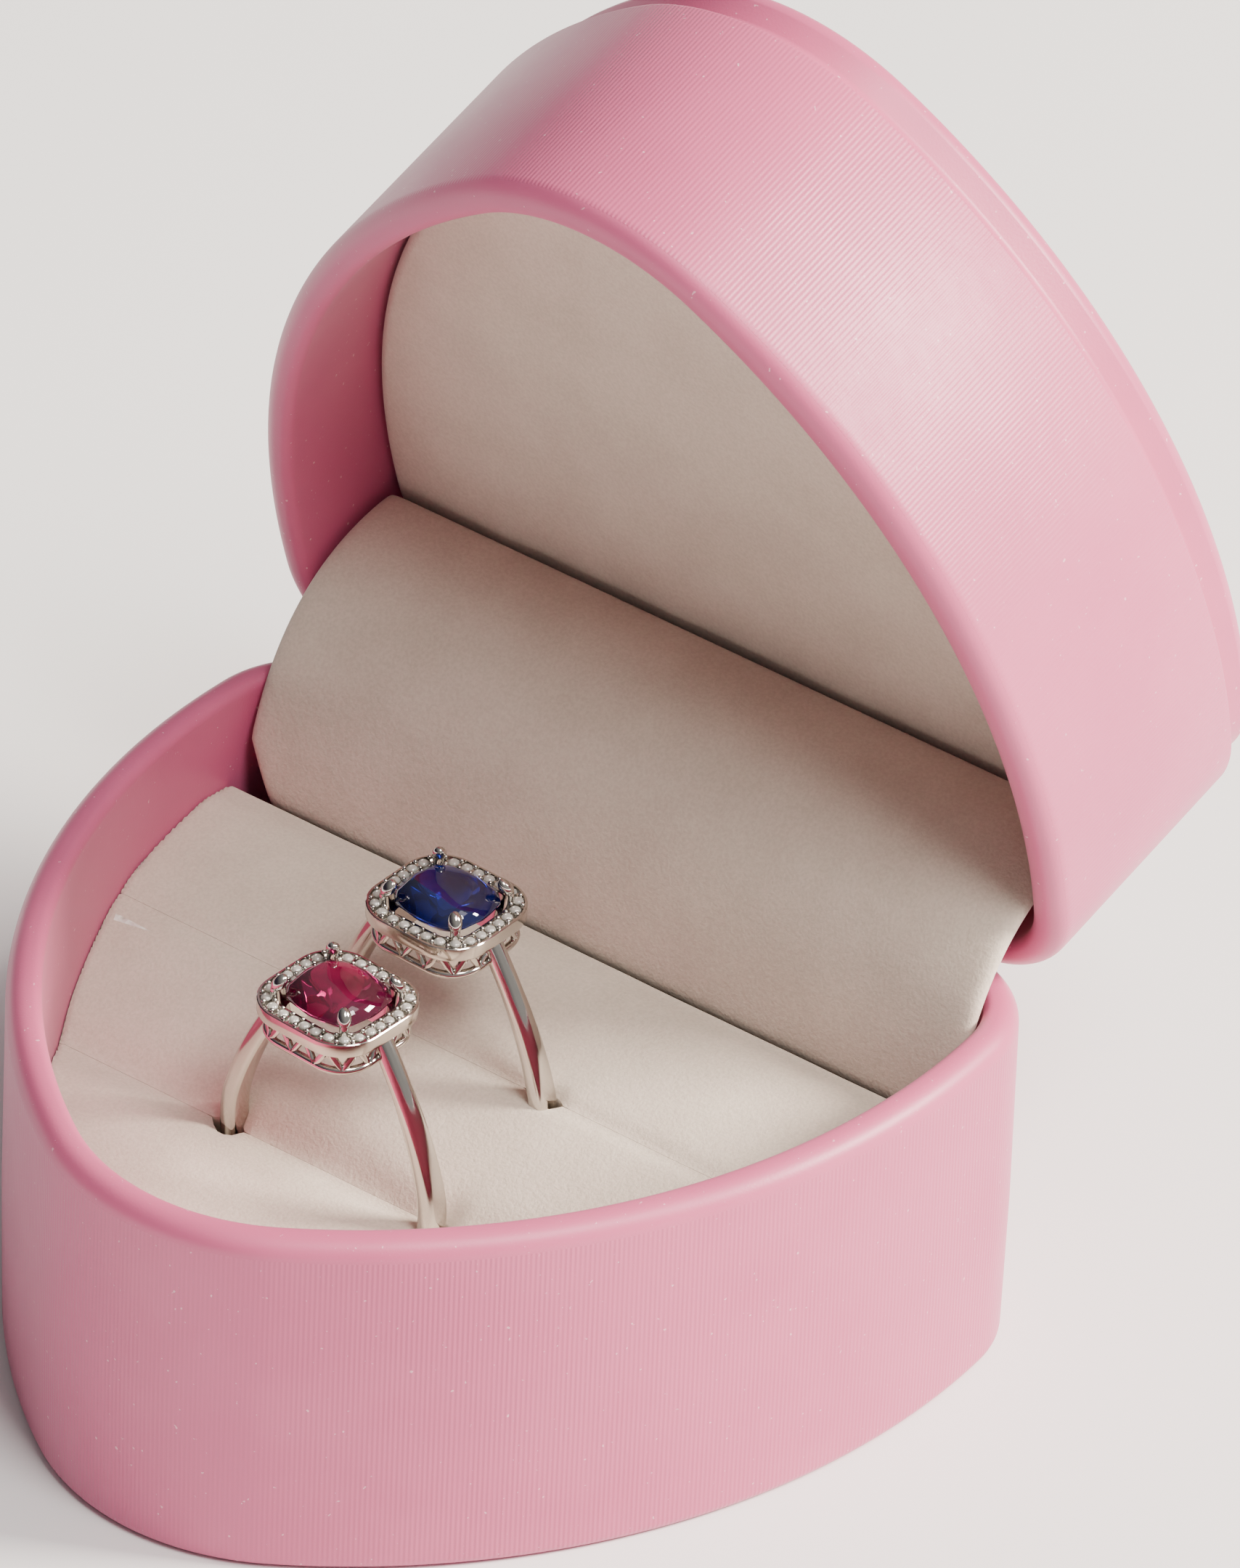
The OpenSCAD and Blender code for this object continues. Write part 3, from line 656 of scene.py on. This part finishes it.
# %% Lid pad
pad_off = -WALL - 0.25 * MM
roll_r = 1.1 * MM
flat_rows = 14
pad_section = np.concatenate([
    np.tile([pad_off - roll_r, PAD_Z], (flat_rows, 1)),
    arc((pad_off - roll_r, PAD_Z + roll_r), roll_r, 270, 360, 8),
    [[pad_off, LEDGE_Z - 0.02 * MM], [pad_off - 1.5 * MM, LEDGE_Z - 0.02 * MM]],
    [[pad_off - 1.5 * MM, LEDGE_Z - 0.02 * MM]],
])
keep = np.ones(len(pad_section))
keep[:flat_rows] = np.linspace(0.02, 1, flat_rows) ** 0.8
keep[-1] = HALFWAY
grid, _ = carried(pad_section, keep)
soft = grid[:flat_rows - 1]
swell = 0.25 * MM * (1 - keep[:flat_rows - 1, None] ** 4)
soft[..., 2] += drift(soft[..., 0], soft[..., 1], 0.12 * MM) - swell
pad = skin("velvet_lid_pad", opened(grid), smooth=60)
dress(pad, velvet, "lid", "velvet", ["lid_velvet"])
print("lid pad:", len(pad.data.polygons), "faces")

# %% [markdown]
# ## Gusset
# Behind the insert a velvet-covered strip bends up and back to the pad, and hides the hinge.
# Its side view is a curve with one bend. The velvet wraps the card, so the ends are round
# folds: the thickness closes like an ellipse towards both ends and both edges. The end rows
# have no width left, so they need no fans. The lower corners are drawn in, because the tail
# swings back between the base's rounded corners.

# %% Gusset
half, thick = BODY_W / 2 - 3.15 * MM, 1.5 * MM
drawn_in, drawn_up = 0.3 * CORNER_R, 0.5 * CORNER_R
tail = np.array([BACK_Y - 9.95 * MM, BASE_H - 8.6 * MM])
bend = np.array([BACK_Y - 7.5 * MM, BASE_H + 8.8 * MM])
pivot = opened(np.array([0, BACK_Y - 8.9 * MM, PAD_Z]))[1:]
head = pivot - np.array([0.45 * MM, -0.05 * MM])


def folded(t, power):
    """Thickness of a fold from 0 at the ends to 1 in the middle, as t goes from -1 to 1."""
    return np.clip(1 - np.abs(t) ** power, 0, 1) ** 0.5


t = crowded(48, 0.9)[:, None]
curve = tail * (1 - t) ** 2 + bend * 2 * t * (1 - t) + head * t**2
slope = 2 * (1 - t) * (bend - tail) + 2 * t * (head - bend)
slope /= np.linalg.norm(slope, axis=1, keepdims=True)
inward = np.stack([slope[:, 1], -slope[:, 0]], -1)
x = half * (crowded(90, 0.95) * 2 - 1)
wide = folded(x / half, 60)
deep = folded(2 * t[:, 0] - 1, 30)
mid = curve + inward * thick / 2
offset = np.outer(wide, deep)[..., None] * inward[None] * thick / 2
front_face, back_face = mid[None] - offset, (mid[None] + offset)[:, ::-1]
loop = np.concatenate([front_face, back_face[:, 1:-1]], 1)
low = np.clip(1 - (loop[..., 1] - tail[1]) / drawn_up, 0, 1)
across = x[:, None] * (1 - drawn_in / half * low)
grid = np.concatenate([across[..., None], loop], -1)
gusset = skin("velvet_gusset", grid, fans=False, smooth=70)
dress(gusset, velvet, "gusset", "velvet", ["gusset_velvet"])
print("gusset:", len(gusset.data.polygons), "faces")

# %% [markdown]
# ## White metal
# Both rings are polished white metal, cast and then buffed. Buffing leaves a faint grain that
# breaks the reflections a little, and the tone drifts slightly from place to place.

# %% Polished metal


def polished(name, colour, rough, grain):
    f = Finish(name)
    where = f.place()
    buff = f.noise(f.stretch(where, (1, 1, 0.25)), 2400, 3)
    cloud = f.noise(where, 420, 2)
    tone = f.mix(cloud.between(0.3, 0.7) * 0.25, colour, tuple(c * 0.82 for c in colour))
    return f.surface(
        Base_Color=tone,
        Metallic=1.0,
        Roughness=buff * grain + rough,
        Normal=f.bump(buff, 0.004 * MM, 0.4),
    )


white_metal = polished("white_metal", (0.62, 0.59, 0.55), 0.07, 0.08)
print("metal mixed")

# %% [markdown]
# ## Stones
# The large stones are cushion-cut: a flat table, sloping crown facets, a thin girdle and a
# deep pointed pavilion. Their colour is in the body of the stone, so they are clear, tinted
# and strongly bending, and every facet is flat. The tint drifts a little, as in grown stones.

# %% Stone finish


def gem(name, tint, deep, bend, through=0.9):
    f = Finish(name)
    where = f.place()
    veil = f.noise(where, 320, 2)
    return f.surface(
        Base_Color=f.mix(veil.between(0.3, 0.7), tint, deep),
        Roughness=veil * 0.02,
        IOR=bend,
        Transmission_Weight=through,
        Specular_IOR_Level=0.6,
    )


red_gem = gem("red_stone", (0.40, 0.015, 0.12), (0.24, 0.006, 0.07), 1.76)
blue_gem = gem("blue_stone", (0.008, 0.02, 0.26), (0.004, 0.008, 0.15), 1.76)
clear_gem = gem("clear_stone", (0.93, 0.92, 0.86), (0.80, 0.78, 0.72), 2.1, 0.6)
print("stones mixed")

# %% [markdown]
# ## Ring shapes
# A ring is drawn round its own centre, with its finger hole facing Y and its head up, and then
# set in its seat. Small helpers carry a round or square wire along a path, make balls, and
# gather many little parts into one grid of points, so a whole halo is one mesh.

# %% Ring helpers
BORE, BAND_T, BAND_W = 8.65 * MM, 1.5 * MM, 2.2 * MM
BAND_R = BORE + BAND_T
HALO_Z, HALO_T = BAND_R + 4.3 * MM, 1.1 * MM
HALO_W, HALO_D = 10.2 * MM, 9.8 * MM
HALO_CORNER, STRUTS, HALO_STONES = 3.2 * MM, 14, 28
STONE_W, STONE_D, STONE_Z = 7.2 * MM, 6.6 * MM, BAND_R + 4.6 * MM


def seated(points, seat):
    """Turns ring points about the upright by the seat's yaw and moves them to the seat."""
    x, y, z, yaw = seat
    c, s = math.cos(math.radians(yaw)), math.sin(math.radians(yaw))
    turned = np.stack([
        points[..., 0] * c - points[..., 1] * s,
        points[..., 0] * s + points[..., 1] * c,
        points[..., 2],
    ], -1)
    return turned + np.array([x, y, z])


def wire(path, radius, sides, closed=False, up=(0, 0, 1)):
    """Grid of a wire: each path point + radius x (cosine x side axis + sine x its own up)."""
    path = np.asarray(path, float)
    if closed:
        along = np.roll(path, -1, 0) - np.roll(path, 1, 0)
    else:
        along = np.gradient(path, axis=0)
    along /= np.linalg.norm(along, axis=1, keepdims=True)
    side = np.cross(along, np.array(up, float))
    side /= np.linalg.norm(side, axis=1, keepdims=True)
    top = np.cross(side, along)
    a = np.linspace(0, 2 * math.pi, sides, endpoint=False)[None, :, None]
    ring = side[:, None] * np.cos(a) + top[:, None] * np.sin(a)
    return path[:, None] + ring * radius


def balls(centres, radius, rows, cols):
    """Points, quads and triangles of many balls: each centre + radius x every direction."""
    v = np.linspace(0, math.pi, rows + 1)[1:-1]
    u = np.linspace(0, 2 * math.pi, cols, endpoint=False)
    ways = np.stack([
        np.outer(np.sin(v), np.cos(u)), np.outer(np.sin(v), np.sin(u)),
        np.repeat(np.cos(v)[:, None], cols, 1),
    ], -1).reshape(-1, 3)
    ways = np.concatenate([ways, [[0, 0, 1], [0, 0, -1]]])
    return repeated(ways, rows - 1, cols, centres, radius)


def repeated(shape, rows, cols, centres, size):
    """Copies a closed little grid, whose last two points are its poles, to every centre."""
    n, k = rows * cols, len(centres)
    quads = grid_faces(rows, cols, False)
    j = np.arange(cols)
    first = np.stack([np.full(cols, n), (j + 1) % cols, j], -1)
    low = n - cols
    last = np.stack([np.full(cols, n + 1), low + j, low + (j + 1) % cols], -1)
    tris = np.concatenate([first, last])
    steps = (np.arange(k) * (n + 2))[:, None, None]
    points = np.asarray(centres)[:, None] + shape[None] * size
    return points.reshape(-1, 3), (quads + steps).reshape(-1, 4), (tris + steps).reshape(-1, 3)


def soft_square(w, d, r, n):
    """Outline points and normals of a rectangle with round corners, anticlockwise."""
    out, ways = [], []
    for k, (sx, sy) in enumerate([(1, 1), (-1, 1), (-1, -1), (1, -1)]):
        a = np.radians(np.linspace(90 * k, 90 * k + 90, n))
        way = np.stack([np.cos(a), np.sin(a)], -1)
        out.append(np.array([sx * (w / 2 - r), sy * (d / 2 - r)]) + r * way)
        ways.append(way)
    return np.concatenate(out), np.concatenate(ways)


def framed(section, n):
    """Grid of a section carried round the halo: outline + distance x normal, at its height."""
    out, ways = soft_square(HALO_W, HALO_D, HALO_CORNER, n)
    section = np.asarray(section)
    flat = out[None] + ways[None] * section[:, :1, None]
    z = np.repeat(section[:, 1:2], len(out), 1)
    return np.concatenate([flat, z[..., None]], -1)


def superellipse(a, w, d, power):
    """A rounded rectangle at angles a: half size x cosine or sine, over their power mean."""
    m = (np.abs(np.cos(a)) ** power + np.abs(np.sin(a)) ** power) ** (-1 / power)
    return w / 2 * np.cos(a) * m, d / 2 * np.sin(a) * m


def halo_places():
    """Middles of the small stones, stepped evenly round the track beside the large one."""
    a = 2 * math.pi * (np.arange(HALO_STONES) + 0.5) / HALO_STONES
    track_w, track_d = (HALO_W + STONE_W) / 2 + 0.04 * MM, (HALO_D + STONE_D) / 2 + 0.04 * MM
    return np.stack(superellipse(a, track_w, track_d, 4), -1)


# %% [markdown]
# ## Bands and shoulders
# The band is one strand: a half circle below, and on each side a shoulder that climbs to the
# underside of the halo. It is flat-faced with soft edges at the bottom and becomes a narrower
# oval towards the head.

# %% Bands


def band_grid():
    """One strand: half circle below, then a curve up to the halo's underside on each side.

    Point = path + across x width x rounded cosine + outward x thickness x rounded sine. The
    rounding runs from an oval at the head to a soft-edged rectangle at the bottom.
    """
    mid = BORE + BAND_T / 2
    low = math.radians(14)
    t = np.linspace(0, 1, 40)[1:, None]
    a = mid * np.array([math.cos(low), math.sin(low)])
    c = np.array([HALO_W / 2 - 1.35 * MM, HALO_Z - HALO_T + 0.15 * MM])
    b = a + np.array([-math.sin(low), math.cos(low)]) * 5.4 * MM
    rise = a * (1 - t) ** 2 + b * 2 * t * (1 - t) + c * t**2
    turn = np.linspace(-math.pi / 2, low, 60)[:, None]
    half = np.concatenate([mid * np.concatenate([np.cos(turn), np.sin(turn)], 1), rise])
    path = np.concatenate([half[:0:-1] * [-1, 1], half])
    way = np.gradient(path, axis=0)
    way /= np.linalg.norm(way, axis=1, keepdims=True)
    high = np.clip((path[:, 1:] + 4 * MM) / (16 * MM), 0, 1)
    across = BAND_W / 2 * (1 - 0.3 * high)
    thick = BAND_T / 2 * (1 + 0.1 * high)
    power = 2 / (3.6 - 1.6 * np.clip(high * 2 - 0.7, 0, 1))
    v = np.linspace(0, 2 * math.pi, 32, endpoint=False)[None]
    c, s = np.cos(v), np.sin(v)
    side = np.sign(c) * np.abs(c) ** power * across
    out = np.sign(s) * np.abs(s) ** power * thick
    x, z = path[:, :1] + way[:, 1:] * out, path[:, 1:] - way[:, :1] * out
    return np.stack([x, side, z], -1)


for k, seat in enumerate(SEATS):
    which = ("front", "rear")[k]
    band = skin("band_" + which, seated(band_grid(), seat), smooth=40)
    dress(band, white_metal, "base", "white_metal", ["ring_band_" + which])
    print(band.name, len(band.data.polygons), "faces")

# %% [markdown]
# ## Heads
# Under the stone sit a tray that carries the halo, an open gallery of struts on a rail with a
# plain basket behind it, and one claw at each of the four corners. Each is a wire or a framed
# section, and the many small grains that hold the little stones are one mesh.

# %% Heads


def head_parts(seat):
    """All the grids of one head, in its seat."""
    tray = framed([
        [-0.05 * MM, HALO_Z - HALO_T], [0, HALO_Z - HALO_T + 0.1 * MM], [0, HALO_Z - 0.06 * MM],
        [-0.06 * MM, HALO_Z], [-0.2 * MM, HALO_Z], [-0.26 * MM, HALO_Z - 0.22 * MM],
        [-1.2 * MM, HALO_Z - 0.22 * MM], [-1.26 * MM, HALO_Z], [-1.42 * MM, HALO_Z],
        [-1.5 * MM, HALO_Z - 0.1 * MM], [-1.6 * MM, HALO_Z - HALO_T],
    ], 12)
    yield skin("part", seated(tray, seat), rows_closed=True, smooth=30)
    w, d, r = HALO_W - 1.5 * MM, HALO_D - 1.5 * MM, 2.5 * MM
    low, high = HALO_Z - HALO_T - 1.75 * MM, HALO_Z - HALO_T
    out, _ = soft_square(w, d, r, 14)
    rail = np.column_stack([out, np.full(len(out), low + 0.1 * MM)])
    rail = rail[np.linalg.norm(rail - np.roll(rail, 1, 0), axis=1) > 1e-6]
    yield skin("part", seated(wire(rail, 0.3 * MM, 8, True), seat), rows_closed=True, smooth=60)
    far = lengths(out)
    walked = np.linspace(0, far[-1], 193)[:-1]
    ring = np.concatenate([out, out[:1]])
    flat = np.stack([np.interp(walked, far, ring[:, i]) for i in (0, 1)], -1)
    zigzag = np.abs((walked / far[-1] * STRUTS) % 1 * 2 - 1)
    path = np.column_stack([flat, low + 0.1 * MM + zigzag * (high - low - 0.05 * MM)])
    yield skin("part", seated(wire(path, 0.26 * MM, 6, True), seat), rows_closed=True, smooth=60)
    basket = framed([
        [-1.5 * MM, high], [-1.9 * MM, low], [-2.5 * MM, low], [-2.1 * MM, high],
    ], 10)
    yield skin("part", seated(basket, seat), rows_closed=True, smooth=30)


def claw_places():
    """Foot of each of the four claws, at the stone's corners, and the way out from it."""
    x, y = STONE_W / 2 - 0.6 * MM, STONE_D / 2 - 0.55 * MM
    for sx in (1, -1):
        for sy in (1, -1):
            yield np.array([sx * x, sy * y]), np.array([sx, sy]) / math.sqrt(2)


def claws(seat):
    """Grids of the claws: a wire that rises outside the stone and bends over its edge."""
    steps = np.array([(0.1, -1.8), (0.3, -1.0), (0.4, 0.2), (0.28, 0.75), (-0.05, 1.05)]) * MM
    fine = np.stack([np.interp(np.linspace(0, 4, 17), range(5), steps[:, i]) for i in (0, 1)], -1)
    for foot, out in claw_places():
        path = np.column_stack([foot + out * fine[:, :1], STONE_Z + fine[:, 1]])
        claw = wire(path, 0.36 * MM, 10, up=(out[0], out[1], 0.01))
        yield skin("part", seated(claw, seat), smooth=60)


def beads(seat):
    """The oval ends of the claws, and the tiny grains between the halo's stones."""
    for foot, out in claw_places():
        tip = np.array([*(foot + out * 0.08 * MM), STONE_Z + 0.9 * MM])
        points, quads, tris = balls([[0, 0, 0]], 0.54 * MM, 10, 14)
        points[:, 2] *= 1.3
        points[:, :2] += points[:, 2:] * out * -0.4  # leans in over the stone
        yield to_object("part", *with_seat((points + tip, quads, tris), seat), smooth=80)
    places = halo_places()
    between = (places + np.roll(places, -1, 0)) / 2
    away = between / np.linalg.norm(between, axis=1, keepdims=True)
    grains = np.concatenate([between + away * 0.42 * MM, between - away * 0.4 * MM])
    grains = np.column_stack([grains, np.full(len(grains), HALO_Z + 0.04 * MM)])
    yield to_object("part", *with_seat(balls(grains, 0.19 * MM, 5, 7), seat), smooth=80)


def with_seat(made, seat):
    points, quads, tris = made
    return seated(points, seat), quads, tris


for k, seat in enumerate(SEATS):
    which = ("front", "rear")[k]
    parts = [*head_parts(seat), *claws(seat), *beads(seat)]
    head_piece = parts[0]
    with bpy.context.temp_override(active_object=head_piece, selected_editable_objects=parts):
        bpy.ops.object.join()
    head_piece.name = head_piece.data.name = "head_" + which
    dress(head_piece, white_metal, "base", "white_metal", ["ring_head_" + which])
    print(head_piece.name, len(head_piece.data.polygons), "faces")

# %% [markdown]
# ## Cutting the stones
# A cut stone is a stack of rings of corners, each turned against the next, joined by flat
# facets. Sixteen columns carry it: where a ring has eight corners, two columns meet, and the
# four-sided face between them closes to a triangle.

# %% Large stones


def cushion_ring(scale, z, pair=None, n=16):
    """Points of a cushion outline at one height; pair makes them meet two by two."""
    j = np.arange(n)
    if pair is not None:
        j = ((j + pair) // 2) * 2 - pair + 0.5
    a = 2 * math.pi * (j + 0.5) / n
    x, y = superellipse(a, STONE_W * scale, STONE_D * scale, 3.2)
    return np.stack([x, y, np.full(n, z)], -1)


def cut_stone():
    rows = [
        cushion_ring(0.05, STONE_Z - 2.6 * MM),
        cushion_ring(0.52, STONE_Z - 1.55 * MM, 0),
        cushion_ring(0.93, STONE_Z - 0.35 * MM, 1),
        cushion_ring(0.985, STONE_Z),
        cushion_ring(0.985, STONE_Z + 0.16 * MM),
        cushion_ring(0.83, STONE_Z + 0.7 * MM, 1),
        cushion_ring(0.64, STONE_Z + 1.1 * MM, 0),
    ]
    return np.stack(rows)


for k, seat in enumerate(SEATS):
    which, finish = ("front", "rear")[k], (red_gem, blue_gem)[k]
    stone = skin("stone_" + which, seated(cut_stone(), seat), smooth=None)
    dress(stone, finish, "base", ("red_stone", "blue_stone")[k], ["ring_stone_" + which])
    print(stone.name, len(stone.data.polygons), "facets")

# %% [markdown]
# ## Halo stones
# Twenty-eight tiny clear stones ring each large one. Each is a few dozen flat faces: a table,
# a sloping crown and a point below.

# %% Halo stones


def tiny_stone():
    """Rows of eight corners from the table down to the pavilion, then the two poles.

    Each row is a radius, a height and the angle that it is turned by.
    """
    a = np.linspace(0, 2 * math.pi, 8, endpoint=False)
    rows = [(0.55, 0.42, 0.0), (1.0, 0.05, 0.39), (1.0, -0.06, 0.39), (0.4, -0.75, 0.0)]
    points = [
        np.stack([r * np.cos(a + t), r * np.sin(a + t), np.full(8, h)], -1) for r, h, t in rows
    ]
    return np.concatenate([*points, [[0, 0, 0.42], [0, 0, -1.0]]])


for k, seat in enumerate(SEATS):
    which = ("front", "rear")[k]
    places = halo_places()
    centres = np.column_stack([places, np.full(len(places), HALO_Z)])
    made = with_seat(repeated(tiny_stone(), 4, 8, centres, 0.43 * MM), seat)
    stones = to_object("brilliants_" + which, *made, smooth=None)
    dress(stones, clear_gem, "base", "clear_stone", ["halo_stones_" + which])
    print(stones.name, len(stones.data.polygons), "faces")

# %% [markdown]
# ## Parts that stay as they are in the frame
# The hinge leaves, pin, rivets, spring, boards, foam and card have the right shape already, so
# they only get finishes: brushed plated steel, spring steel, grey fibrous board and open foam.

# %% Finishes for the kept nodes


def board_finish(name, tone, deep):
    f = Finish(name)
    where = f.place()
    fibre = f.noise(f.stretch(where, (1, 0.25, 1)), 1900, 4, 0.65)
    fleck = f.noise(where, 900, 2).between(0.6, 0.72)
    colour = f.mix(fibre.between(0.3, 0.7), tone, deep)
    colour = f.mix(fleck * 0.4, colour, tuple(c * 0.6 for c in deep))
    normal = f.bump(fibre, 0.06 * MM)
    return f.surface(Base_Color=colour, Roughness=fibre * 0.1 + 0.82, Normal=normal)


def foam_finish(name):
    f = Finish(name)
    where = f.place()
    cell = f.node("ShaderNodeTexVoronoi", None, {"Vector": where, "Scale": 1500.0}, out=0)
    # The pits of the cells, where the bump sinks, are painted darker: painted shade in the pores.
    colour = f.mix(cell.between(0.05, 0.5), (0.55, 0.50, 0.42), (0.80, 0.77, 0.70))
    normal = f.bump(cell, 0.25 * MM)
    return f.surface(Base_Color=colour, Roughness=cell * 0.1 + 0.85, Normal=normal)


plated = polished("plated_steel", (0.62, 0.62, 0.63), 0.26, 0.2)
rivet_steel = polished("rivet_steel", (0.70, 0.70, 0.71), 0.2, 0.15)
spring_steel = polished("spring_steel", (0.36, 0.37, 0.42), 0.22, 0.15)
board = board_finish("grey_board", (0.46, 0.42, 0.36), (0.36, 0.32, 0.27))
foam = foam_finish("open_foam")
kept = {
    "insert_board": board, "lid_board": board, "gusset_card": board,
    "foam_front": foam, "foam_middle": foam, "foam_rear": foam, "lid_foam": foam,
    "hinge_leaf_base": plated, "hinge_leaf_lid": plated, "hinge_pin": rivet_steel,
    "hinge_rivets_base": rivet_steel, "hinge_rivets_lid": rivet_steel,
    "snap_spring": spring_steel,
}
for node, material in kept.items():
    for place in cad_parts[node].material_slots:
        place.material = material
print("finished", len(kept), "kept nodes")

# %% [markdown]
# ## Camera
# The box is seen from its front right, from about 36 degrees up, through a long lens. The
# camera's axes come from those two angles and a small roll.

# %% Camera
turn, lift, roll = math.radians(35.94), math.radians(35.78), math.radians(2.34)
target, distance, lens = np.array([9.45, 11.35, 45.82]) * MM, 1.5, 491.0
back = np.array([math.sin(turn) * math.cos(lift), -math.cos(turn) * math.cos(lift), math.sin(lift)])
flat_right = np.array([math.cos(turn), math.sin(turn), 0])
upward = np.cross(back, flat_right)
right = flat_right * math.cos(roll) + upward * math.sin(roll)
up = upward * math.cos(roll) - flat_right * math.sin(roll)
camera = bpy.data.objects.new("camera", bpy.data.cameras.new("camera"))
bpy.context.scene.collection.objects.link(camera)
camera.data.lens, camera.data.sensor_width = lens, 36
camera.data.clip_start, camera.data.clip_end = 0.1, 20
pose = np.eye(4)
pose[:3, 0], pose[:3, 1], pose[:3, 2], pose[:3, 3] = right, up, back, target + back * distance
camera.matrix_world = pose.T.tolist()
bpy.context.scene.camera = camera
print("camera at", (target + back * distance).round(3))

# %% [markdown]
# ## Floor and light
# A plain pale floor, a strong warm softbox up to the right, a weaker one above the camera, a
# faint one overhead, and a surround that runs from pale at the upper right to dark at the lower
# left, which gives the metal something to reflect.

# %% Floor
floor_size = 6.0
corners = np.array([[-1, -1, 0], [1, -1, 0], [1, 1, 0], [-1, 1, 0]]) * floor_size / 2
corners = corners - [0, 0, 0.02 * MM]
floor = to_object("floor", corners, np.array([[0, 1, 2, 3]]), smooth=None, flip=False)
f = Finish("pale_floor")
tone = f.mix(f.noise(f.place(), 14, 2), (0.90, 0.90, 0.90), (0.87, 0.87, 0.87))
floor.data.materials.append(f.surface(Base_Color=tone, Roughness=0.9, Specular_IOR_Level=0.1))


# %% Lights
def softbox(name, place, size, power, colour):
    """A square area light that looks at the middle of the box."""
    lamp = bpy.data.lights.new(name, "AREA")
    lamp.size, lamp.energy, lamp.color = size, power, colour
    light = bpy.data.objects.new(name, lamp)
    bpy.context.scene.collection.objects.link(light)
    look = np.array(place) - target
    z = look / np.linalg.norm(look)
    x = np.cross([0, 0, 1.0], z)
    x /= np.linalg.norm(x)
    turned = np.eye(4)
    turned[:3, 0], turned[:3, 1], turned[:3, 2], turned[:3, 3] = x, np.cross(z, x), z, place
    light.matrix_world = turned.T.tolist()


key_at = target + flat_right * 1.0 + np.array([0, 0, 0.6]) + back * 0.05
top_at = target + np.array([0, 0, 1.2]) + back * 0.4 + flat_right * 0.5
front_at = target + back * 0.75 + np.array([0, 0, 0.75]) + flat_right * 0.45
softbox("key", key_at, 0.35, 48, (1, 0.90, 0.80))
softbox("top", top_at, 0.6, 3, (1, 0.95, 0.92))
softbox("front", front_at, 0.5, 18, (1, 0.96, 0.91))

# %% Surround
dark, pale, brightness = (0.09, 0.07, 0.11, 1), (1.0, 0.97, 0.93, 1), 0.42
pale_side = flat_right * 0.8 + np.array([0, 0, 0.6])
world = bpy.data.worlds.new("surround")
bpy.context.scene.world = world
world.use_nodes = True
tree = world.node_tree
tree.nodes.clear()
sky = tree.nodes.new("ShaderNodeBackground")
way = tree.nodes.new("ShaderNodeTexCoord")
turned = tree.nodes.new("ShaderNodeVectorMath")
turned.operation = "DOT_PRODUCT"
turned.inputs[1].default_value = tuple(pale_side)
shade = tree.nodes.new("ShaderNodeMix")
shade.data_type = "RGBA"
spread = tree.nodes.new("ShaderNodeMapRange")
spread.inputs["From Min"].default_value, spread.inputs["From Max"].default_value = -0.5, 0.5
shade.inputs[6].default_value, shade.inputs[7].default_value = dark, pale
tree.links.new(way.outputs["Generated"], turned.inputs[0])
tree.links.new(turned.outputs["Value"], spread.inputs["Value"])
tree.links.new(spread.outputs[0], shade.inputs[0])
tree.links.new(shade.outputs[2], sky.inputs["Color"])
sky.inputs["Strength"].default_value = brightness
out = tree.nodes.new("ShaderNodeOutputWorld")
tree.links.new(sky.outputs[0], out.inputs["Surface"])
print("lights set")
